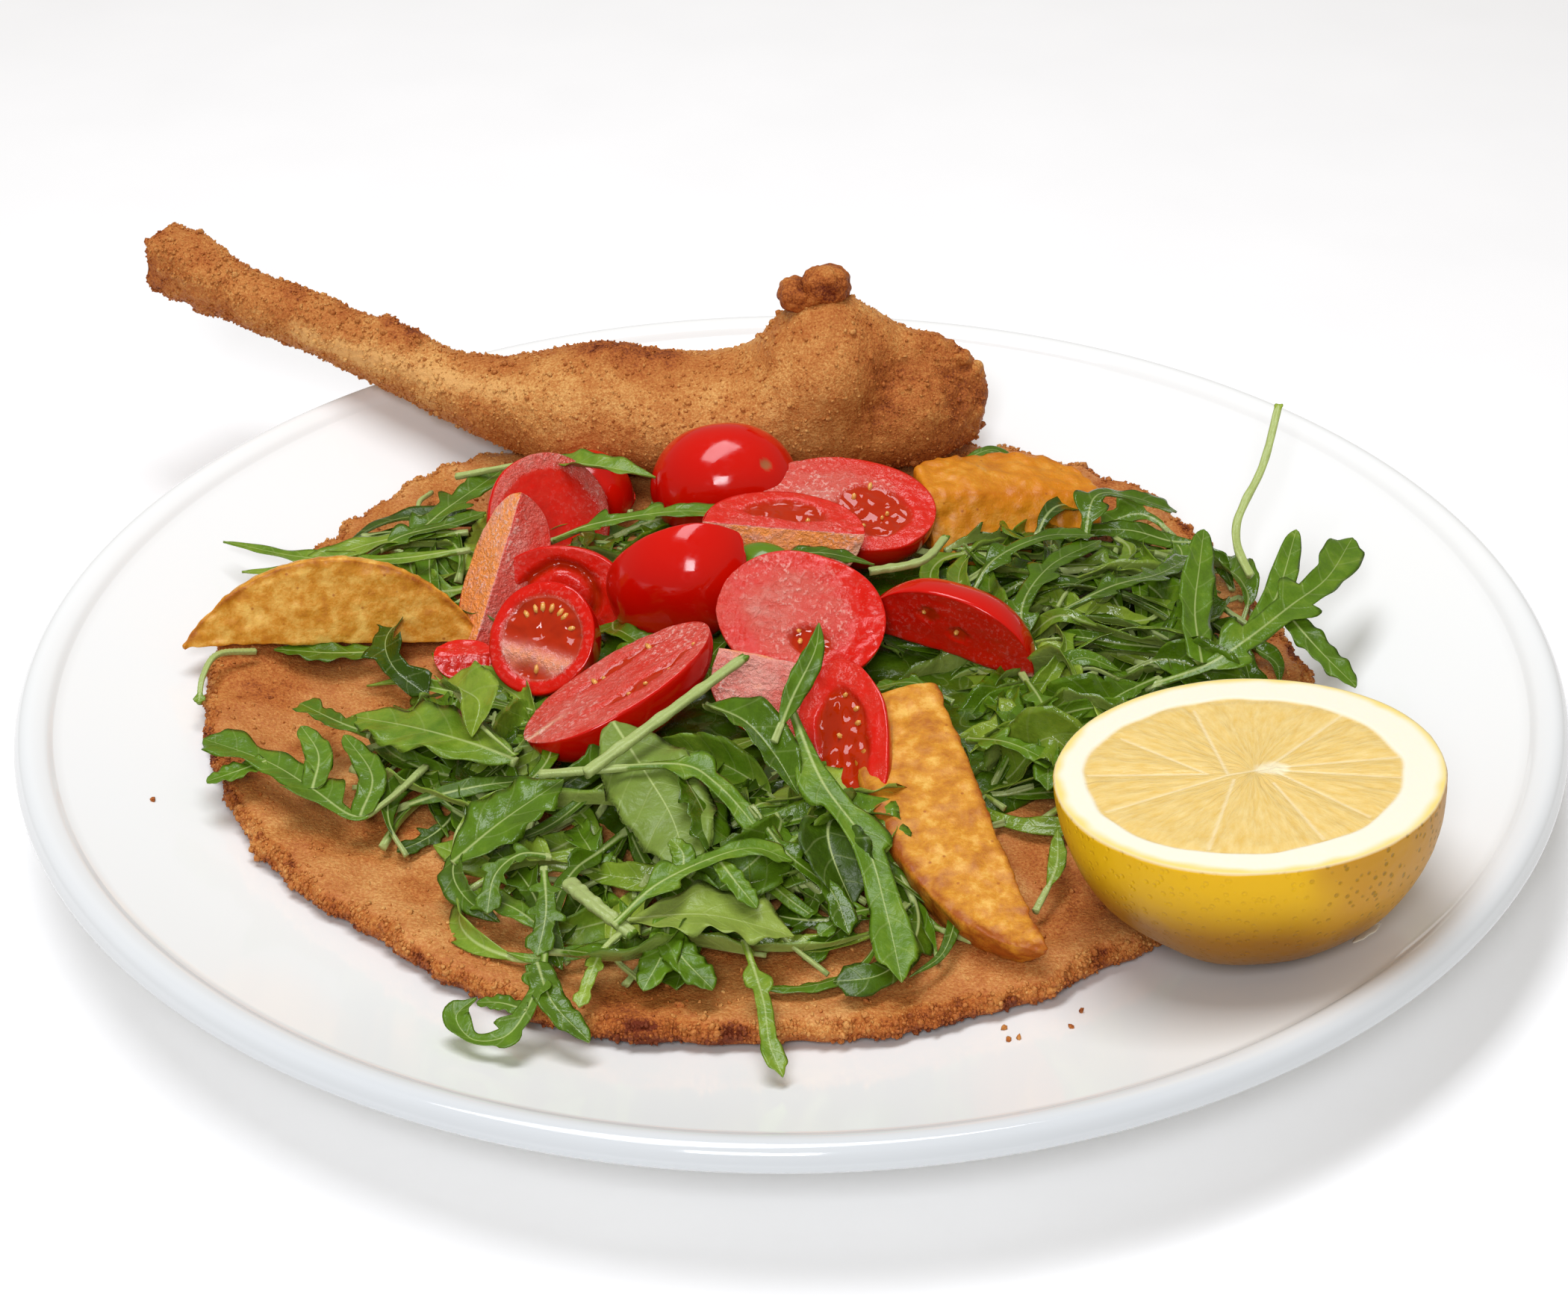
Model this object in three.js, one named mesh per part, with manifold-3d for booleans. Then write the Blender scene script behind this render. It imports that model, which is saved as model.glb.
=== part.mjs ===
// A bone-in breaded veal chop, pounded out into a wide thin round, on its plate
// with rocket, tomatoes, three potato wedges and half a lemon.
// Millimetres, +Z up; the origin is the middle of the plate's foot, on the table.
import * as THREE from "three";
import { mergeVertices } from "three/addons/utils/BufferGeometryUtils.js";
import Module from "manifold-3d";

const manifold = await Module();
manifold.setup();

// ---------- driving dimensions ----------

const GAP = 0.3; // clear space between pieces that touch

const PLATE = {
  radius: 140,
  height: 24,
  wellRadius: 86, // the flat middle
  wellFloor: 6.5,
  innerRadius: 133, // where the rising side meets the lip
  innerHeight: 21.8,
  riseExponent: 1.35,
  footRadius: 82,
  footWidth: 5,
  footHeight: 2.4,
  lipDepth: 5.4,
  segments: 56,
};

const ROUND = {
  centre: new THREE.Vector2(-4.3, 3.7),
  radius: 101.7,
  thickness: 5.6,
  topLumps: 0.45,
  sides: 56,
  // Where the outline swells and draws in: degrees, mm out, half width in degrees.
  bulges: [
    [18, -2.2, 12],
    [44, 2.4, 12],
    [130, 2.2, 12],
    [181, 2.4, 13],
    [228, -2.6, 11],
    [255, 3.9, 9],
    [276, 1.6, 6],
    [291, 1.8, 6],
    [304, -2.4, 6],
  ],
};

const CHOP = {
  sides: 14,
  steps: 30,
  crumbLumps: 0.55,
};

const LEMON = {
  centre: new THREE.Vector3(73.3, -70.8, 42.6),
  radius: 31.4,
  depth: 30.4,
  faceNormal: new THREE.Vector3(-0.075, 0.08, 1),
  sides: 24,
};

const SALAD = {
  centre: new THREE.Vector2(5, 0),
  depth: 9.5, // of the packed middle
  leafThickness: 0.9,
  sides: 22,
};

// ---------- finishes ----------

const look = (color, roughness, metalness = 0) =>
  new THREE.MeshStandardMaterial({ color, roughness, metalness });

const PORCELAIN = look(0xf1f1ef, 0.15);
const BREADCRUMB = look(0xb4763a, 0.75);
const FRIED_POTATO = look(0xdba04a, 0.6);
const TOMATO_RED = look(0xc41a12, 0.25);
const LEMON_PEEL = look(0xf0c21c, 0.45);
const ROCKET_GREEN = look(0x3c7a2c, 0.5);
const CUCUMBER_GREEN = look(0x9ba82e, 0.35);

// ---------- small tools ----------

const vec = (x, y, z) => new THREE.Vector3(x, y, z);
const mix = (a, b, t) => a + (b - a) * t;

// A smooth lumpy field between about -1 and 1, its lumps `size` mm across.
function lumps(point, size, seed) {
  const waves = 5;
  let sum = 0;
  for (let i = 0; i < waves; i++) {
    const turn = seed + i * 2.4;
    const along =
      point.x * Math.cos(turn) +
      point.y * Math.sin(turn) +
      point.z * Math.cos(turn * 1.7);
    sum += Math.sin((Math.PI * along * (0.8 + 0.17 * i)) / size + turn * 3.1);
  }
  return (sum / waves) * 1.6;
}

// A closed skin over rings of points; a ring of one point is a pole.
function skinOver(rings) {
  const positions = [];
  const starts = rings.map((ring) => {
    const start = positions.length / 3;
    for (const p of ring) positions.push(p.x, p.y, p.z);
    return start;
  });
  const triangles = [];
  for (let r = 0; r + 1 < rings.length; r++) {
    const [lower, upper] = [rings[r].length, rings[r + 1].length];
    const count = Math.max(lower, upper);
    for (let i = 0; i < count; i++) {
      const next = (i + 1) % count;
      const a = starts[r] + (lower > 1 ? i : 0);
      const b = starts[r] + (lower > 1 ? next : 0);
      const c = starts[r + 1] + (upper > 1 ? next : 0);
      const d = starts[r + 1] + (upper > 1 ? i : 0);
      if (lower > 1) triangles.push(a, b, c);
      if (upper > 1) triangles.push(a, c, d);
    }
  }
  const geometry = new THREE.BufferGeometry();
  geometry.setAttribute("position", new THREE.Float32BufferAttribute(positions, 3));
  geometry.setIndex(triangles);
  return geometry;
}

// A geometry as a solid that can be joined and cut, faces turned outwards.
function solidOf(geometry) {
  const bare = geometry.clone();
  bare.deleteAttribute("normal");
  bare.deleteAttribute("uv");
  const merged = mergeVertices(bare, 1e-4);
  const build = (triVerts) =>
    new manifold.Manifold(
      new manifold.Mesh({
        numProp: 3,
        vertProperties: merged.attributes.position.array,
        triVerts,
      }),
    );
  const triVerts = new Uint32Array(merged.index.array);
  const solid = build(triVerts);
  return solid.volume() > 0 ? solid : build(triVerts.reverse());
}

// The largest body of a solid, without loose scraps and sealed pockets.
function mainBody(solid) {
  return solid
    .decompose()
    .reduce((best, body) => (body.volume() > best.volume() ? body : best));
}

function boxesMeet(a, b) {
  const [boxA, boxB] = [a.boundingBox(), b.boundingBox()];
  return boxA.min.every((low, i) => low < boxB.max[i] && boxB.min[i] < boxA.max[i]);
}

// A solid with room cut out of it for each of the others that it would touch.
function clearOf(solid, others) {
  const near = others.filter((other) => boxesMeet(solid, other));
  return near.length ? mainBody(solid.subtract(manifold.Manifold.union(near))) : solid;
}

function meshOf(name, solid, material) {
  const mesh = solid.getMesh();
  const geometry = new THREE.BufferGeometry();
  geometry.setAttribute("position", new THREE.BufferAttribute(mesh.vertProperties, 3));
  geometry.setIndex(new THREE.BufferAttribute(mesh.triVerts, 1));
  geometry.computeVertexNormals();
  const result = new THREE.Mesh(geometry, material);
  result.name = name;
  return result;
}

// ---------- the surfaces that carry the food ----------

// Height of the plate's top at a distance from its middle.
function plateTop(distance) {
  const { wellRadius, innerRadius, wellFloor, innerHeight, riseExponent } = PLATE;
  const t = Math.max(0, (distance - wellRadius) / (innerRadius - wellRadius));
  return wellFloor + (innerHeight - wellFloor) * t ** riseExponent;
}

// Distance from the round's middle to its edge in a direction.
function roundEdge(angle) {
  const degrees = THREE.MathUtils.radToDeg(angle);
  const swell = ROUND.bulges.reduce((sum, [at, out, width]) => {
    const off = THREE.MathUtils.euclideanModulo(degrees - at + 180, 360) - 180;
    return sum + out * Math.exp(-((off / width) ** 2));
  }, 0);
  return ROUND.radius + swell;
}

// Height of the round's top, from its middle out to the edge.
function roundTop(x, y) {
  const swell = ROUND.topLumps * lumps(vec(x, y, 0), 14, 1.3);
  return plateTop(Math.hypot(x, y)) + GAP + ROUND.thickness + swell;
}

// ---------- the plate ----------

// A coupe plate: one closed profile from the underside, over the lip, to the well.
function plate() {
  const { radius, height, footRadius, footWidth, footHeight, lipDepth } = PLATE;
  const { wellRadius, innerRadius, innerHeight, wellFloor, segments } = PLATE;
  const footInner = footRadius - footWidth;
  const outline = [
    [0, footHeight],
    [footInner - 1.5, footHeight],
    [footInner, 0],
    [footRadius, 0],
    [footRadius + 1.8, footHeight],
    [mix(footRadius, radius, 0.45), footHeight + 4.6],
    [mix(footRadius, radius, 0.8), height - lipDepth - 3.4],
    [radius - 2.6, height - lipDepth],
    [radius - 0.4, height - lipDepth + 1.6],
    [radius, height - lipDepth / 2],
    [radius - 1.1, height - 0.6],
    [radius - 3, height],
    [radius - 5.4, height - 0.8],
    [innerRadius, innerHeight],
  ];
  const risingSteps = 5;
  for (let i = risingSteps - 1; i >= 0; i--) {
    const r = mix(wellRadius, innerRadius, i / risingSteps);
    outline.push([r, plateTop(r)]);
  }
  outline.push([0, wellFloor]);
  const profile = outline.map(([r, z]) => new THREE.Vector2(r, z));
  const lathe = new THREE.LatheGeometry(profile, segments);
  lathe.rotateX(Math.PI / 2); // the lathe's own axis is Y
  return solidOf(lathe);
}

// ---------- the chop ----------

// The pounded round: rings from the middle of its underside, round the ragged
// edge, to the middle of its top. It follows the plate's rise.
function poundedRound() {
  const { centre, sides, thickness } = ROUND;
  const at = (angle, share, heightShare, outset = 0) => {
    const reach = roundEdge(angle) * share + outset;
    const x = centre.x + reach * Math.cos(angle);
    const y = centre.y + reach * Math.sin(angle);
    const floor = plateTop(Math.hypot(x, y)) + GAP;
    const crag = share > 0.9 ? 0.9 * lumps(vec(x, y, 9 * heightShare), 5, 3.7) : 0;
    const top = roundTop(x, y);
    return vec(x + crag * Math.cos(angle), y + crag * Math.sin(angle), mix(floor, top, heightShare));
  };
  const levels = [
    [0.45, 0],
    [0.8, 0],
    [0.97, 0.06],
    [1, 0.35],
    [0.998, 0.7],
    [0.975, 0.97],
    [0.9, 1.02],
    [0.76, 1],
    [0.58, 1],
    [0.36, 1],
  ];
  const ring = ([share, heightShare]) =>
    Array.from({ length: sides }, (_, i) => at((i / sides) * 2 * Math.PI, share, heightShare));
  const middle = vec(centre.x, centre.y, 0);
  const under = plateTop(0) + GAP;
  return solidOf(
    skinOver([
      [middle.clone().setZ(under)],
      ...levels.map(ring),
      [middle.clone().setZ(under + thickness)],
    ]),
  );
}

// The rib bone and the thick end by the backbone, both breaded: a section swept
// along one line. Each station gives the middle of the section, how far it
// reaches to the front and to the back, and how far up and down.
const CHOP_STATIONS = [
  { at: [-135.4, 121.8, 48.6], front: 5.6, back: 4.4, up: 6, down: 7.2 },
  { at: [-131, 119.8, 47.6], front: 6.8, back: 6.2, up: 7.2, down: 7.6 },
  { at: [-122, 115.6, 44.8], front: 6.6, back: 6.4, up: 6.9, down: 6.8 },
  { at: [-112, 111, 41.6], front: 6.0, back: 6.0, up: 6.0, down: 6.2 },
  { at: [-100, 107.2, 38.2], front: 6.2, back: 6.2, up: 6.6, down: 6.2 },
  { at: [-88, 102.6, 34.6], front: 6.6, back: 6.6, up: 7.0, down: 6.6 },
  { at: [-77, 99, 31.4], front: 7.0, back: 7.0, up: 6.0, down: 7.4 },
  { at: [-67, 95.6, 28.4], front: 8.4, back: 8.0, up: 7.4, down: 7.6 },
  { at: [-56, 93, 26], front: 12.5, back: 11.5, up: 10.6, down: 9 },
  { at: [-43, 92, 25.4], front: 16.5, back: 14, up: 13.8, down: 11 },
  { at: [-28, 91.5, 25], front: 18.5, back: 15, up: 12.6, down: 12 },
  { at: [-15, 91, 25], front: 19.5, back: 15, up: 13.4, down: 12 },
  { at: [-4, 90.5, 25.5], front: 19.5, back: 15, up: 20, down: 12 },
  { at: [7, 90, 26], front: 18.5, back: 14.5, up: 26, down: 12 },
  { at: [16, 90, 25.5], front: 17, back: 14, up: 23.5, down: 11 },
  { at: [26, 90.5, 25], front: 14.5, back: 13, up: 17.6, down: 9.5 },
  { at: [35, 91.5, 24.6], front: 11, back: 11, up: 13, down: 7 },
  { at: [40.5, 92.5, 24.4], front: 7, back: 7.5, up: 8, down: 4.6 },
];

function boneAndThickEnd() {
  const { sides, steps, crumbLumps } = CHOP;
  const path = new THREE.CatmullRomCurve3(CHOP_STATIONS.map((s) => vec(...s.at)));
  const last = CHOP_STATIONS.length - 1;
  const reachAt = (t, key) => {
    const place = t * last;
    const i = Math.min(last - 1, Math.floor(place));
    return mix(CHOP_STATIONS[i][key], CHOP_STATIONS[i + 1][key], place - i);
  };
  const ring = (t) => {
    const middle = path.getPoint(t);
    const along = path.getTangent(t);
    const forward = vec(0, 0, 1).cross(along).negate().normalize();
    const upward = along.clone().cross(forward).negate().normalize();
    return Array.from({ length: sides }, (_, i) => {
      const turn = (i / sides) * 2 * Math.PI;
      const [c, s] = [Math.cos(turn), Math.sin(turn)];
      const point = middle
        .clone()
        .addScaledVector(forward, c * reachAt(t, c > 0 ? "front" : "back"))
        .addScaledVector(upward, s * reachAt(t, s > 0 ? "up" : "down"));
      const outward = point.clone().sub(middle).normalize();
      return point.addScaledVector(outward, crumbLumps * lumps(point, 4.5, 5.1));
    });
  };
  const rings = Array.from({ length: steps }, (_, i) => ring(i / (steps - 1)));
  return solidOf(skinOver([[path.getPoint(0)], ...rings, [path.getPoint(1)]]));
}

// The dark knob of bone that stands up from the thick end.
function boneKnob() {
  const [sides, levels] = [10, 5];
  const middle = vec(6.5, 91.5, 52);
  const half = vec(8.4, 6.4, 6.4);
  const ring = (level) => {
    const polar = (Math.PI * level) / levels;
    return Array.from({ length: sides }, (_, i) => {
      const turn = (i / sides) * 2 * Math.PI;
      const out = vec(Math.sin(polar) * Math.cos(turn), Math.sin(polar) * Math.sin(turn), -Math.cos(polar));
      const point = middle.clone().add(out.multiply(half));
      return point.addScaledVector(out, 0.09 * lumps(point, 5, 2.2));
    });
  };
  const rings = Array.from({ length: levels - 1 }, (_, i) => ring(i + 1));
  return solidOf(
    skinOver([
      [middle.clone().setZ(middle.z - half.z)],
      ...rings,
      [middle.clone().setZ(middle.z + half.z)],
    ]),
  );
}

// ---------- wedges, halves and whole fruits ----------

// A piece cut lengthwise out of an egg-shaped body: `spread` is half the angle
// that its skin takes round the long axis, 180 for the uncut body. `ends` says
// where along the axis it starts and stops, -1 and 1 being the body's own tips.
// `clearance` moves every face of it outwards.
function lengthwisePiece(shape, clearance = 0) {
  const { at, axis, skin, long, girth, spread, ends = [-1, 1] } = shape;
  const { steps = 8, arcs = 8, rough = 0, seed = 1 } = shape;
  const whole = spread >= 180;
  const half = THREE.MathUtils.degToRad(spread);
  const along = vec(...axis).normalize();
  const out = vec(...skin);
  out.addScaledVector(along, -out.dot(along)).normalize();
  const side = along.clone().cross(out);
  const shift = whole ? 0 : clearance / Math.sin(half);
  const middle = vec(...at).addScaledVector(out, -shift);
  const radius = girth / 2 + clearance + shift;
  const radiusAt = (s) => radius * Math.sqrt(Math.max(0, 1 - Math.abs(s) ** 2.2));
  const axisPoint = (s) => middle.clone().addScaledVector(along, s * (long / 2 + clearance));
  const skinPoint = (s, turn) => {
    const point = axisPoint(s)
      .addScaledVector(out, radiusAt(s) * Math.cos(turn))
      .addScaledVector(side, radiusAt(s) * Math.sin(turn));
    const away = point.clone().sub(axisPoint(s)).normalize();
    return point.addScaledVector(away, rough * lumps(point, 6, seed));
  };
  const ring = (s) => {
    const count = whole ? arcs : arcs + 1;
    const points = Array.from({ length: count }, (_, i) => skinPoint(s, mix(-half, half, i / arcs)));
    if (!whole) points.push(axisPoint(s));
    return points;
  };
  const rings = [];
  for (let i = 0; i <= steps; i++) {
    // Even steps of angle crowd the rings at a rounded tip.
    const even = mix(Math.asin(ends[0]), Math.asin(ends[1]), i / steps);
    const s = Math.sin(even);
    const isTip = Math.abs(s) > 0.999;
    if (isTip) rings.push([axisPoint(s)]);
    else {
      const cap = axisPoint(s).addScaledVector(out, whole ? 0 : 0.5 * radiusAt(s));
      if (i === 0) rings.push([cap]);
      rings.push(ring(s));
      if (i === steps) rings.push([cap]);
    }
  }
  return solidOf(skinOver(rings));
}

// Each is placed by the middle of its long axis, the way that axis runs and the
// way its skin faces.
const TOMATOES = {
  tomato_whole_back: {
    at: [-12.5, 57, 25.5], axis: [1, 0.02, 0.06], skin: [0, 0, 1],
    long: 30, girth: 24, spread: 180, arcs: 12,
  },
  tomato_half_back_right: {
    at: [12, 44.5, 28.6], axis: [0.97, -0.25, -0.1], skin: [-0.05, 0.25, -0.97],
    long: 34, girth: 27, spread: 90,
  },
  tomato_wedge_back: {
    at: [-1, 29, 32], axis: [1, -0.1, -0.05], skin: [0, 0.6, -0.8],
    long: 31, girth: 24, spread: 50,
  },
  tomato_half_left: {
    at: [-47, 48, 23.4], axis: [0.1, 0.66, 0.74], skin: [-0.35, 0.7, -0.62],
    long: 27, girth: 25, spread: 90,
  },
  tomato_half_behind_left: {
    at: [-41, 67, 17.5], axis: [1, 0.2, 0], skin: [0, 0, 1],
    long: 20, girth: 20, spread: 90,
  },
  tomato_wedge_left: {
    at: [-54.5, 25, 27], axis: [0.2, 0.35, 0.9], skin: [0.5, 0.7, -0.3],
    long: 30, girth: 22, spread: 42,
  },
  tomato_half_mid_left: {
    at: [-44.5, 20, 22], axis: [1, -0.1, 0.1], skin: [0.05, 0.8, 0.6],
    long: 27, girth: 20, spread: 90,
  },
  tomato_cross_half_front_left: {
    at: [-46, 3, 24], axis: [0.35, 0.75, -0.55], skin: [0, 0, 1],
    long: 28, girth: 21.5, spread: 180, ends: [0, 1], arcs: 14, steps: 5,
  },
  tomato_wedge_middle: {
    at: [-20.5, 18, 27], axis: [0.85, 0.3, 0.43], skin: [-0.1, -0.9, 0.45],
    long: 32, girth: 27, spread: 80,
  },
  tomato_half_front: {
    at: [-31, -17, 27], axis: [0.8, 0.5, 0.3], skin: [0.4, -0.05, -0.92],
    long: 39, girth: 23, spread: 90,
  },
  tomato_half_centre: {
    at: [2, 0, 30], axis: [0.95, -0.2, -0.15], skin: [0.15, 0.6, -0.78],
    long: 31, girth: 25, spread: 90,
  },
  tomato_wedge_front: {
    at: [-1.6, -16.5, 28], axis: [1, -0.35, -0.1], skin: [-0.3, 0.1, -0.95],
    long: 28, girth: 24, spread: 45,
  },
  tomato_half_front_right: {
    at: [8.6, -36, 25], axis: [0.04, -0.75, -0.4], skin: [0.45, 0.35, -0.82],
    long: 35, girth: 18, spread: 90,
  },
  tomato_wedge_right: {
    at: [29, 3, 23.8], axis: [0.9, -0.38, -0.12], skin: [0, 0.64, 0.77],
    long: 34, girth: 25, spread: 56,
  },
  tomato_scrap_left: {
    at: [-61, 7, 18], axis: [1, 0.1, 0], skin: [0, 0, -1],
    long: 10, girth: 9, spread: 90, steps: 5, arcs: 5,
  },
};

const POTATOES = {
  potato_wedge_left: {
    at: [-85.5, 12.5, 17], axis: [56, 8, -4.8], skin: [0, 0.82, 0.57],
    long: 54, girth: 32, spread: 36, rough: 0.4, seed: 2,
  },
  potato_wedge_front: {
    at: [33.8, -50, 24], axis: [14, -63, -10], skin: [-0.8, -0.1, -0.58],
    long: 74, girth: 37, spread: 30, ends: [-0.86, 0.975], rough: 0.4, seed: 4,
  },
  potato_wedge_back: {
    at: [43, 50.5, 27.4], axis: [0.97, 0.2, -0.1], skin: [-0.1, 0.5, -0.85],
    long: 42, girth: 30, spread: 58, ends: [-0.62, 0.97], rough: 0.5, seed: 6,
  },
};

const CUCUMBER = {
  at: [-5, 17, 27], axis: [0.3, 1, 0], skin: [0.1, 0, 1],
  long: 12, girth: 16, spread: 60, steps: 5, arcs: 5,
};

// Half a lemon, cut across: a round bowl of peel up to a flat cut face.
function lemonHalf(clearance = 0) {
  const { centre, radius, depth, faceNormal, sides } = LEMON;
  const [steps, faceRise, rimRound] = [9, 0.5 + clearance, 0.8];
  const [wide, deep] = [radius + clearance, depth + clearance];
  const profile = [];
  for (let i = 0; i <= steps; i++) {
    const turn = (i / steps) * (Math.PI / 2);
    profile.push(new THREE.Vector2(wide * Math.sin(turn), -deep * Math.cos(turn)));
  }
  profile.push(new THREE.Vector2(wide - rimRound, faceRise), new THREE.Vector2(0, faceRise));
  const lathe = new THREE.LatheGeometry(profile, sides);
  lathe.rotateX(Math.PI / 2);
  const upright = new THREE.Quaternion().setFromUnitVectors(vec(0, 0, 1), faceNormal.clone().normalize());
  lathe.applyQuaternion(upright);
  lathe.translate(centre.x, centre.y, centre.z);
  return solidOf(lathe);
}

// ---------- the rocket ----------

// How far the packed leaves reach from the middle of the heap, every 30 degrees.
const HEAP_REACH = [86, 86, 78, 66, 84, 92, 72, 72, 82, 82, 62, 62];

function heapReach(angle) {
  const place = ((angle / (2 * Math.PI)) * HEAP_REACH.length + HEAP_REACH.length) % HEAP_REACH.length;
  const i = Math.floor(place);
  const ease = (1 - Math.cos((place - i) * Math.PI)) / 2;
  return mix(HEAP_REACH[i], HEAP_REACH[(i + 1) % HEAP_REACH.length], ease);
}

// Height of the packed leaves' top.
function heapTop(x, y) {
  const { centre, depth } = SALAD;
  const angle = Math.atan2(y - centre.y, x - centre.x);
  const share = Math.min(1, Math.hypot(x - centre.x, y - centre.y) / heapReach(angle));
  const hill = depth * Math.sqrt(1 - share ** 2.5);
  return restingTop(x, y) + hill * (1 + 0.22 * lumps(vec(x, y, 0), 11, 7.7));
}

// A smooth height that clears the round's lumps.
function restingTop(x, y) {
  return plateTop(Math.hypot(x, y)) + ROUND.thickness + 1.5;
}

// The packed middle of the heap.
function heapCore() {
  const { centre, sides } = SALAD;
  const shares = [0.4, 0.72, 0.92];
  const ring = (share, height) =>
    Array.from({ length: sides }, (_, i) => {
      const angle = (i / sides) * 2 * Math.PI;
      const reach = heapReach(angle) * share;
      const [x, y] = [centre.x + reach * Math.cos(angle), centre.y + reach * Math.sin(angle)];
      return vec(x, y, height(x, y));
    });
  return solidOf(
    skinOver([
      [vec(centre.x, centre.y, restingTop(centre.x, centre.y))],
      ...shares.map((share) => ring(share, restingTop)),
      ring(1, (x, y) => restingTop(x, y) + 1.2),
      ...shares.map((share) => ring(share, heapTop)).reverse(),
      [vec(centre.x, centre.y, heapTop(centre.x, centre.y))],
    ]),
  );
}

// A thin solid over rows of three points (left edge, midrib, right edge). Both
// faces are split along the same diagonals, so that they never cross.
function leafSolid(rows, thickness) {
  const columns = rows[0].points.length;
  const faces = [1, -1].map((sign) =>
    rows.flatMap(({ points, normal }) =>
      points.map((p) => p.clone().addScaledVector(normal, (sign * thickness) / 2)),
    ),
  );
  const count = faces[0].length;
  const positions = faces.flat().flatMap((p) => [p.x, p.y, p.z]);
  const triangles = [];
  for (let r = 0; r + 1 < rows.length; r++) {
    for (let k = 0; k + 1 < columns; k++) {
      const a = r * columns + k;
      const [b, c, d] = [a + 1, a + columns + 1, a + columns];
      triangles.push(a, b, c, a, c, d);
      triangles.push(count + a, count + c, count + b, count + a, count + d, count + c);
    }
  }
  const rim = [];
  for (let k = 0; k < columns; k++) rim.push(k);
  for (let r = 1; r < rows.length; r++) rim.push(r * columns + columns - 1);
  for (let k = columns - 2; k >= 0; k--) rim.push((rows.length - 1) * columns + k);
  for (let r = rows.length - 2; r > 0; r--) rim.push(r * columns);
  rim.forEach((from, i) => {
    const to = rim[(i + 1) % rim.length];
    triangles.push(to, from, count + from, to, count + from, count + to);
  });
  const geometry = new THREE.BufferGeometry();
  geometry.setAttribute("position", new THREE.Float32BufferAttribute(positions, 3));
  geometry.setIndex(triangles);
  return solidOf(geometry);
}

// The point inside the packed middle that a leaf's end runs down to.
function rootUnder(end, next) {
  const { centre } = SALAD;
  const back = end.clone().sub(next).setZ(0).setLength(4);
  const out = end.clone().add(back).sub(vec(centre.x, centre.y, end.z));
  const furthest = 0.92 * heapReach(Math.atan2(out.y, out.x));
  if (out.length() > furthest) out.setLength(furthest);
  const [x, y] = [centre.x + out.x, centre.y + out.y];
  return vec(x, y, Math.min(end.z, heapTop(x, y) - 1.5));
}

// A rocket leaf along a path from the cut stem to the tip, with its inner end
// led on into the packed middle. `wide` is its half
// width, `lobes` the number of side lobes, `stem` the share of the length that is
// bare, `tilt` turns the blade about its midrib and `fold` lifts both edges.
// `sides` scales the lobes on the left and on the right of the midrib.
function rocketLeaf({ path, wide, lobes = 2, stem = 0.25, tilt = 0, fold = 0.2, sides = [1, 1] }) {
  const shown = path.map((p) => vec(...p));
  const [first, last] = [shown[0], shown[shown.length - 1]];
  const middleOut = (p) => Math.hypot(p.x - SALAD.centre.x, p.y - SALAD.centre.y);
  const fromTip = middleOut(last) < middleOut(first);
  const root = fromTip ? rootUnder(last, shown[shown.length - 2]) : rootUnder(first, shown[1]);
  const points = fromTip ? [...shown, root] : [root, ...shown];
  const curve = new THREE.CatmullRomCurve3(points);
  const reach = curve.getLength();
  const hidden = (fromTip ? last : first).distanceTo(root) / reach;
  const [start, end] = fromTip ? [0, 1 - hidden] : [hidden, 1];
  const stemWidth = 0.9;
  const stations = [[0, stemWidth, 0], [start + stem * (end - start), stemWidth, 0]];
  const step = (1 - stem) / (lobes + 1);
  const bladeAt = (steps) => mix(start, end, stem + step * steps);
  for (let i = 0; i < lobes; i++) {
    const grow = mix(0.75, 1, i / Math.max(1, lobes - 1));
    stations.push([bladeAt(i + 0.55), wide * grow, 0.3 * wide]);
    stations.push([bladeAt(i + 0.98), wide * 0.34, 0]);
  }
  stations.push([bladeAt(lobes + 0.55), wide * 0.62, 0.1 * wide]);
  if (fromTip) stations.push([end, stemWidth, 0]);
  stations.push([1, 0.5, 0]);
  const turn = THREE.MathUtils.degToRad(tilt);
  const rows = stations.map(([t, width, rake]) => {
    const middle = curve.getPointAt(t);
    const along = curve.getTangentAt(t);
    const flat = vec(0, 0, 1).cross(along).normalize(); // to the left
    const left = flat.applyAxisAngle(along, turn);
    const normal = along.clone().cross(left);
    const edge = (sign, scale) =>
      middle
        .clone()
        .addScaledVector(left, sign * Math.max(stemWidth, width * scale))
        .addScaledVector(normal, width > stemWidth ? fold * width * scale : 0)
        .addScaledVector(along, rake * scale);
    return { points: [edge(1, sides[0]), middle, edge(-1, sides[1])], normal };
  });
  return leafSolid(rows, SALAD.leafThickness);
}

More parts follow.
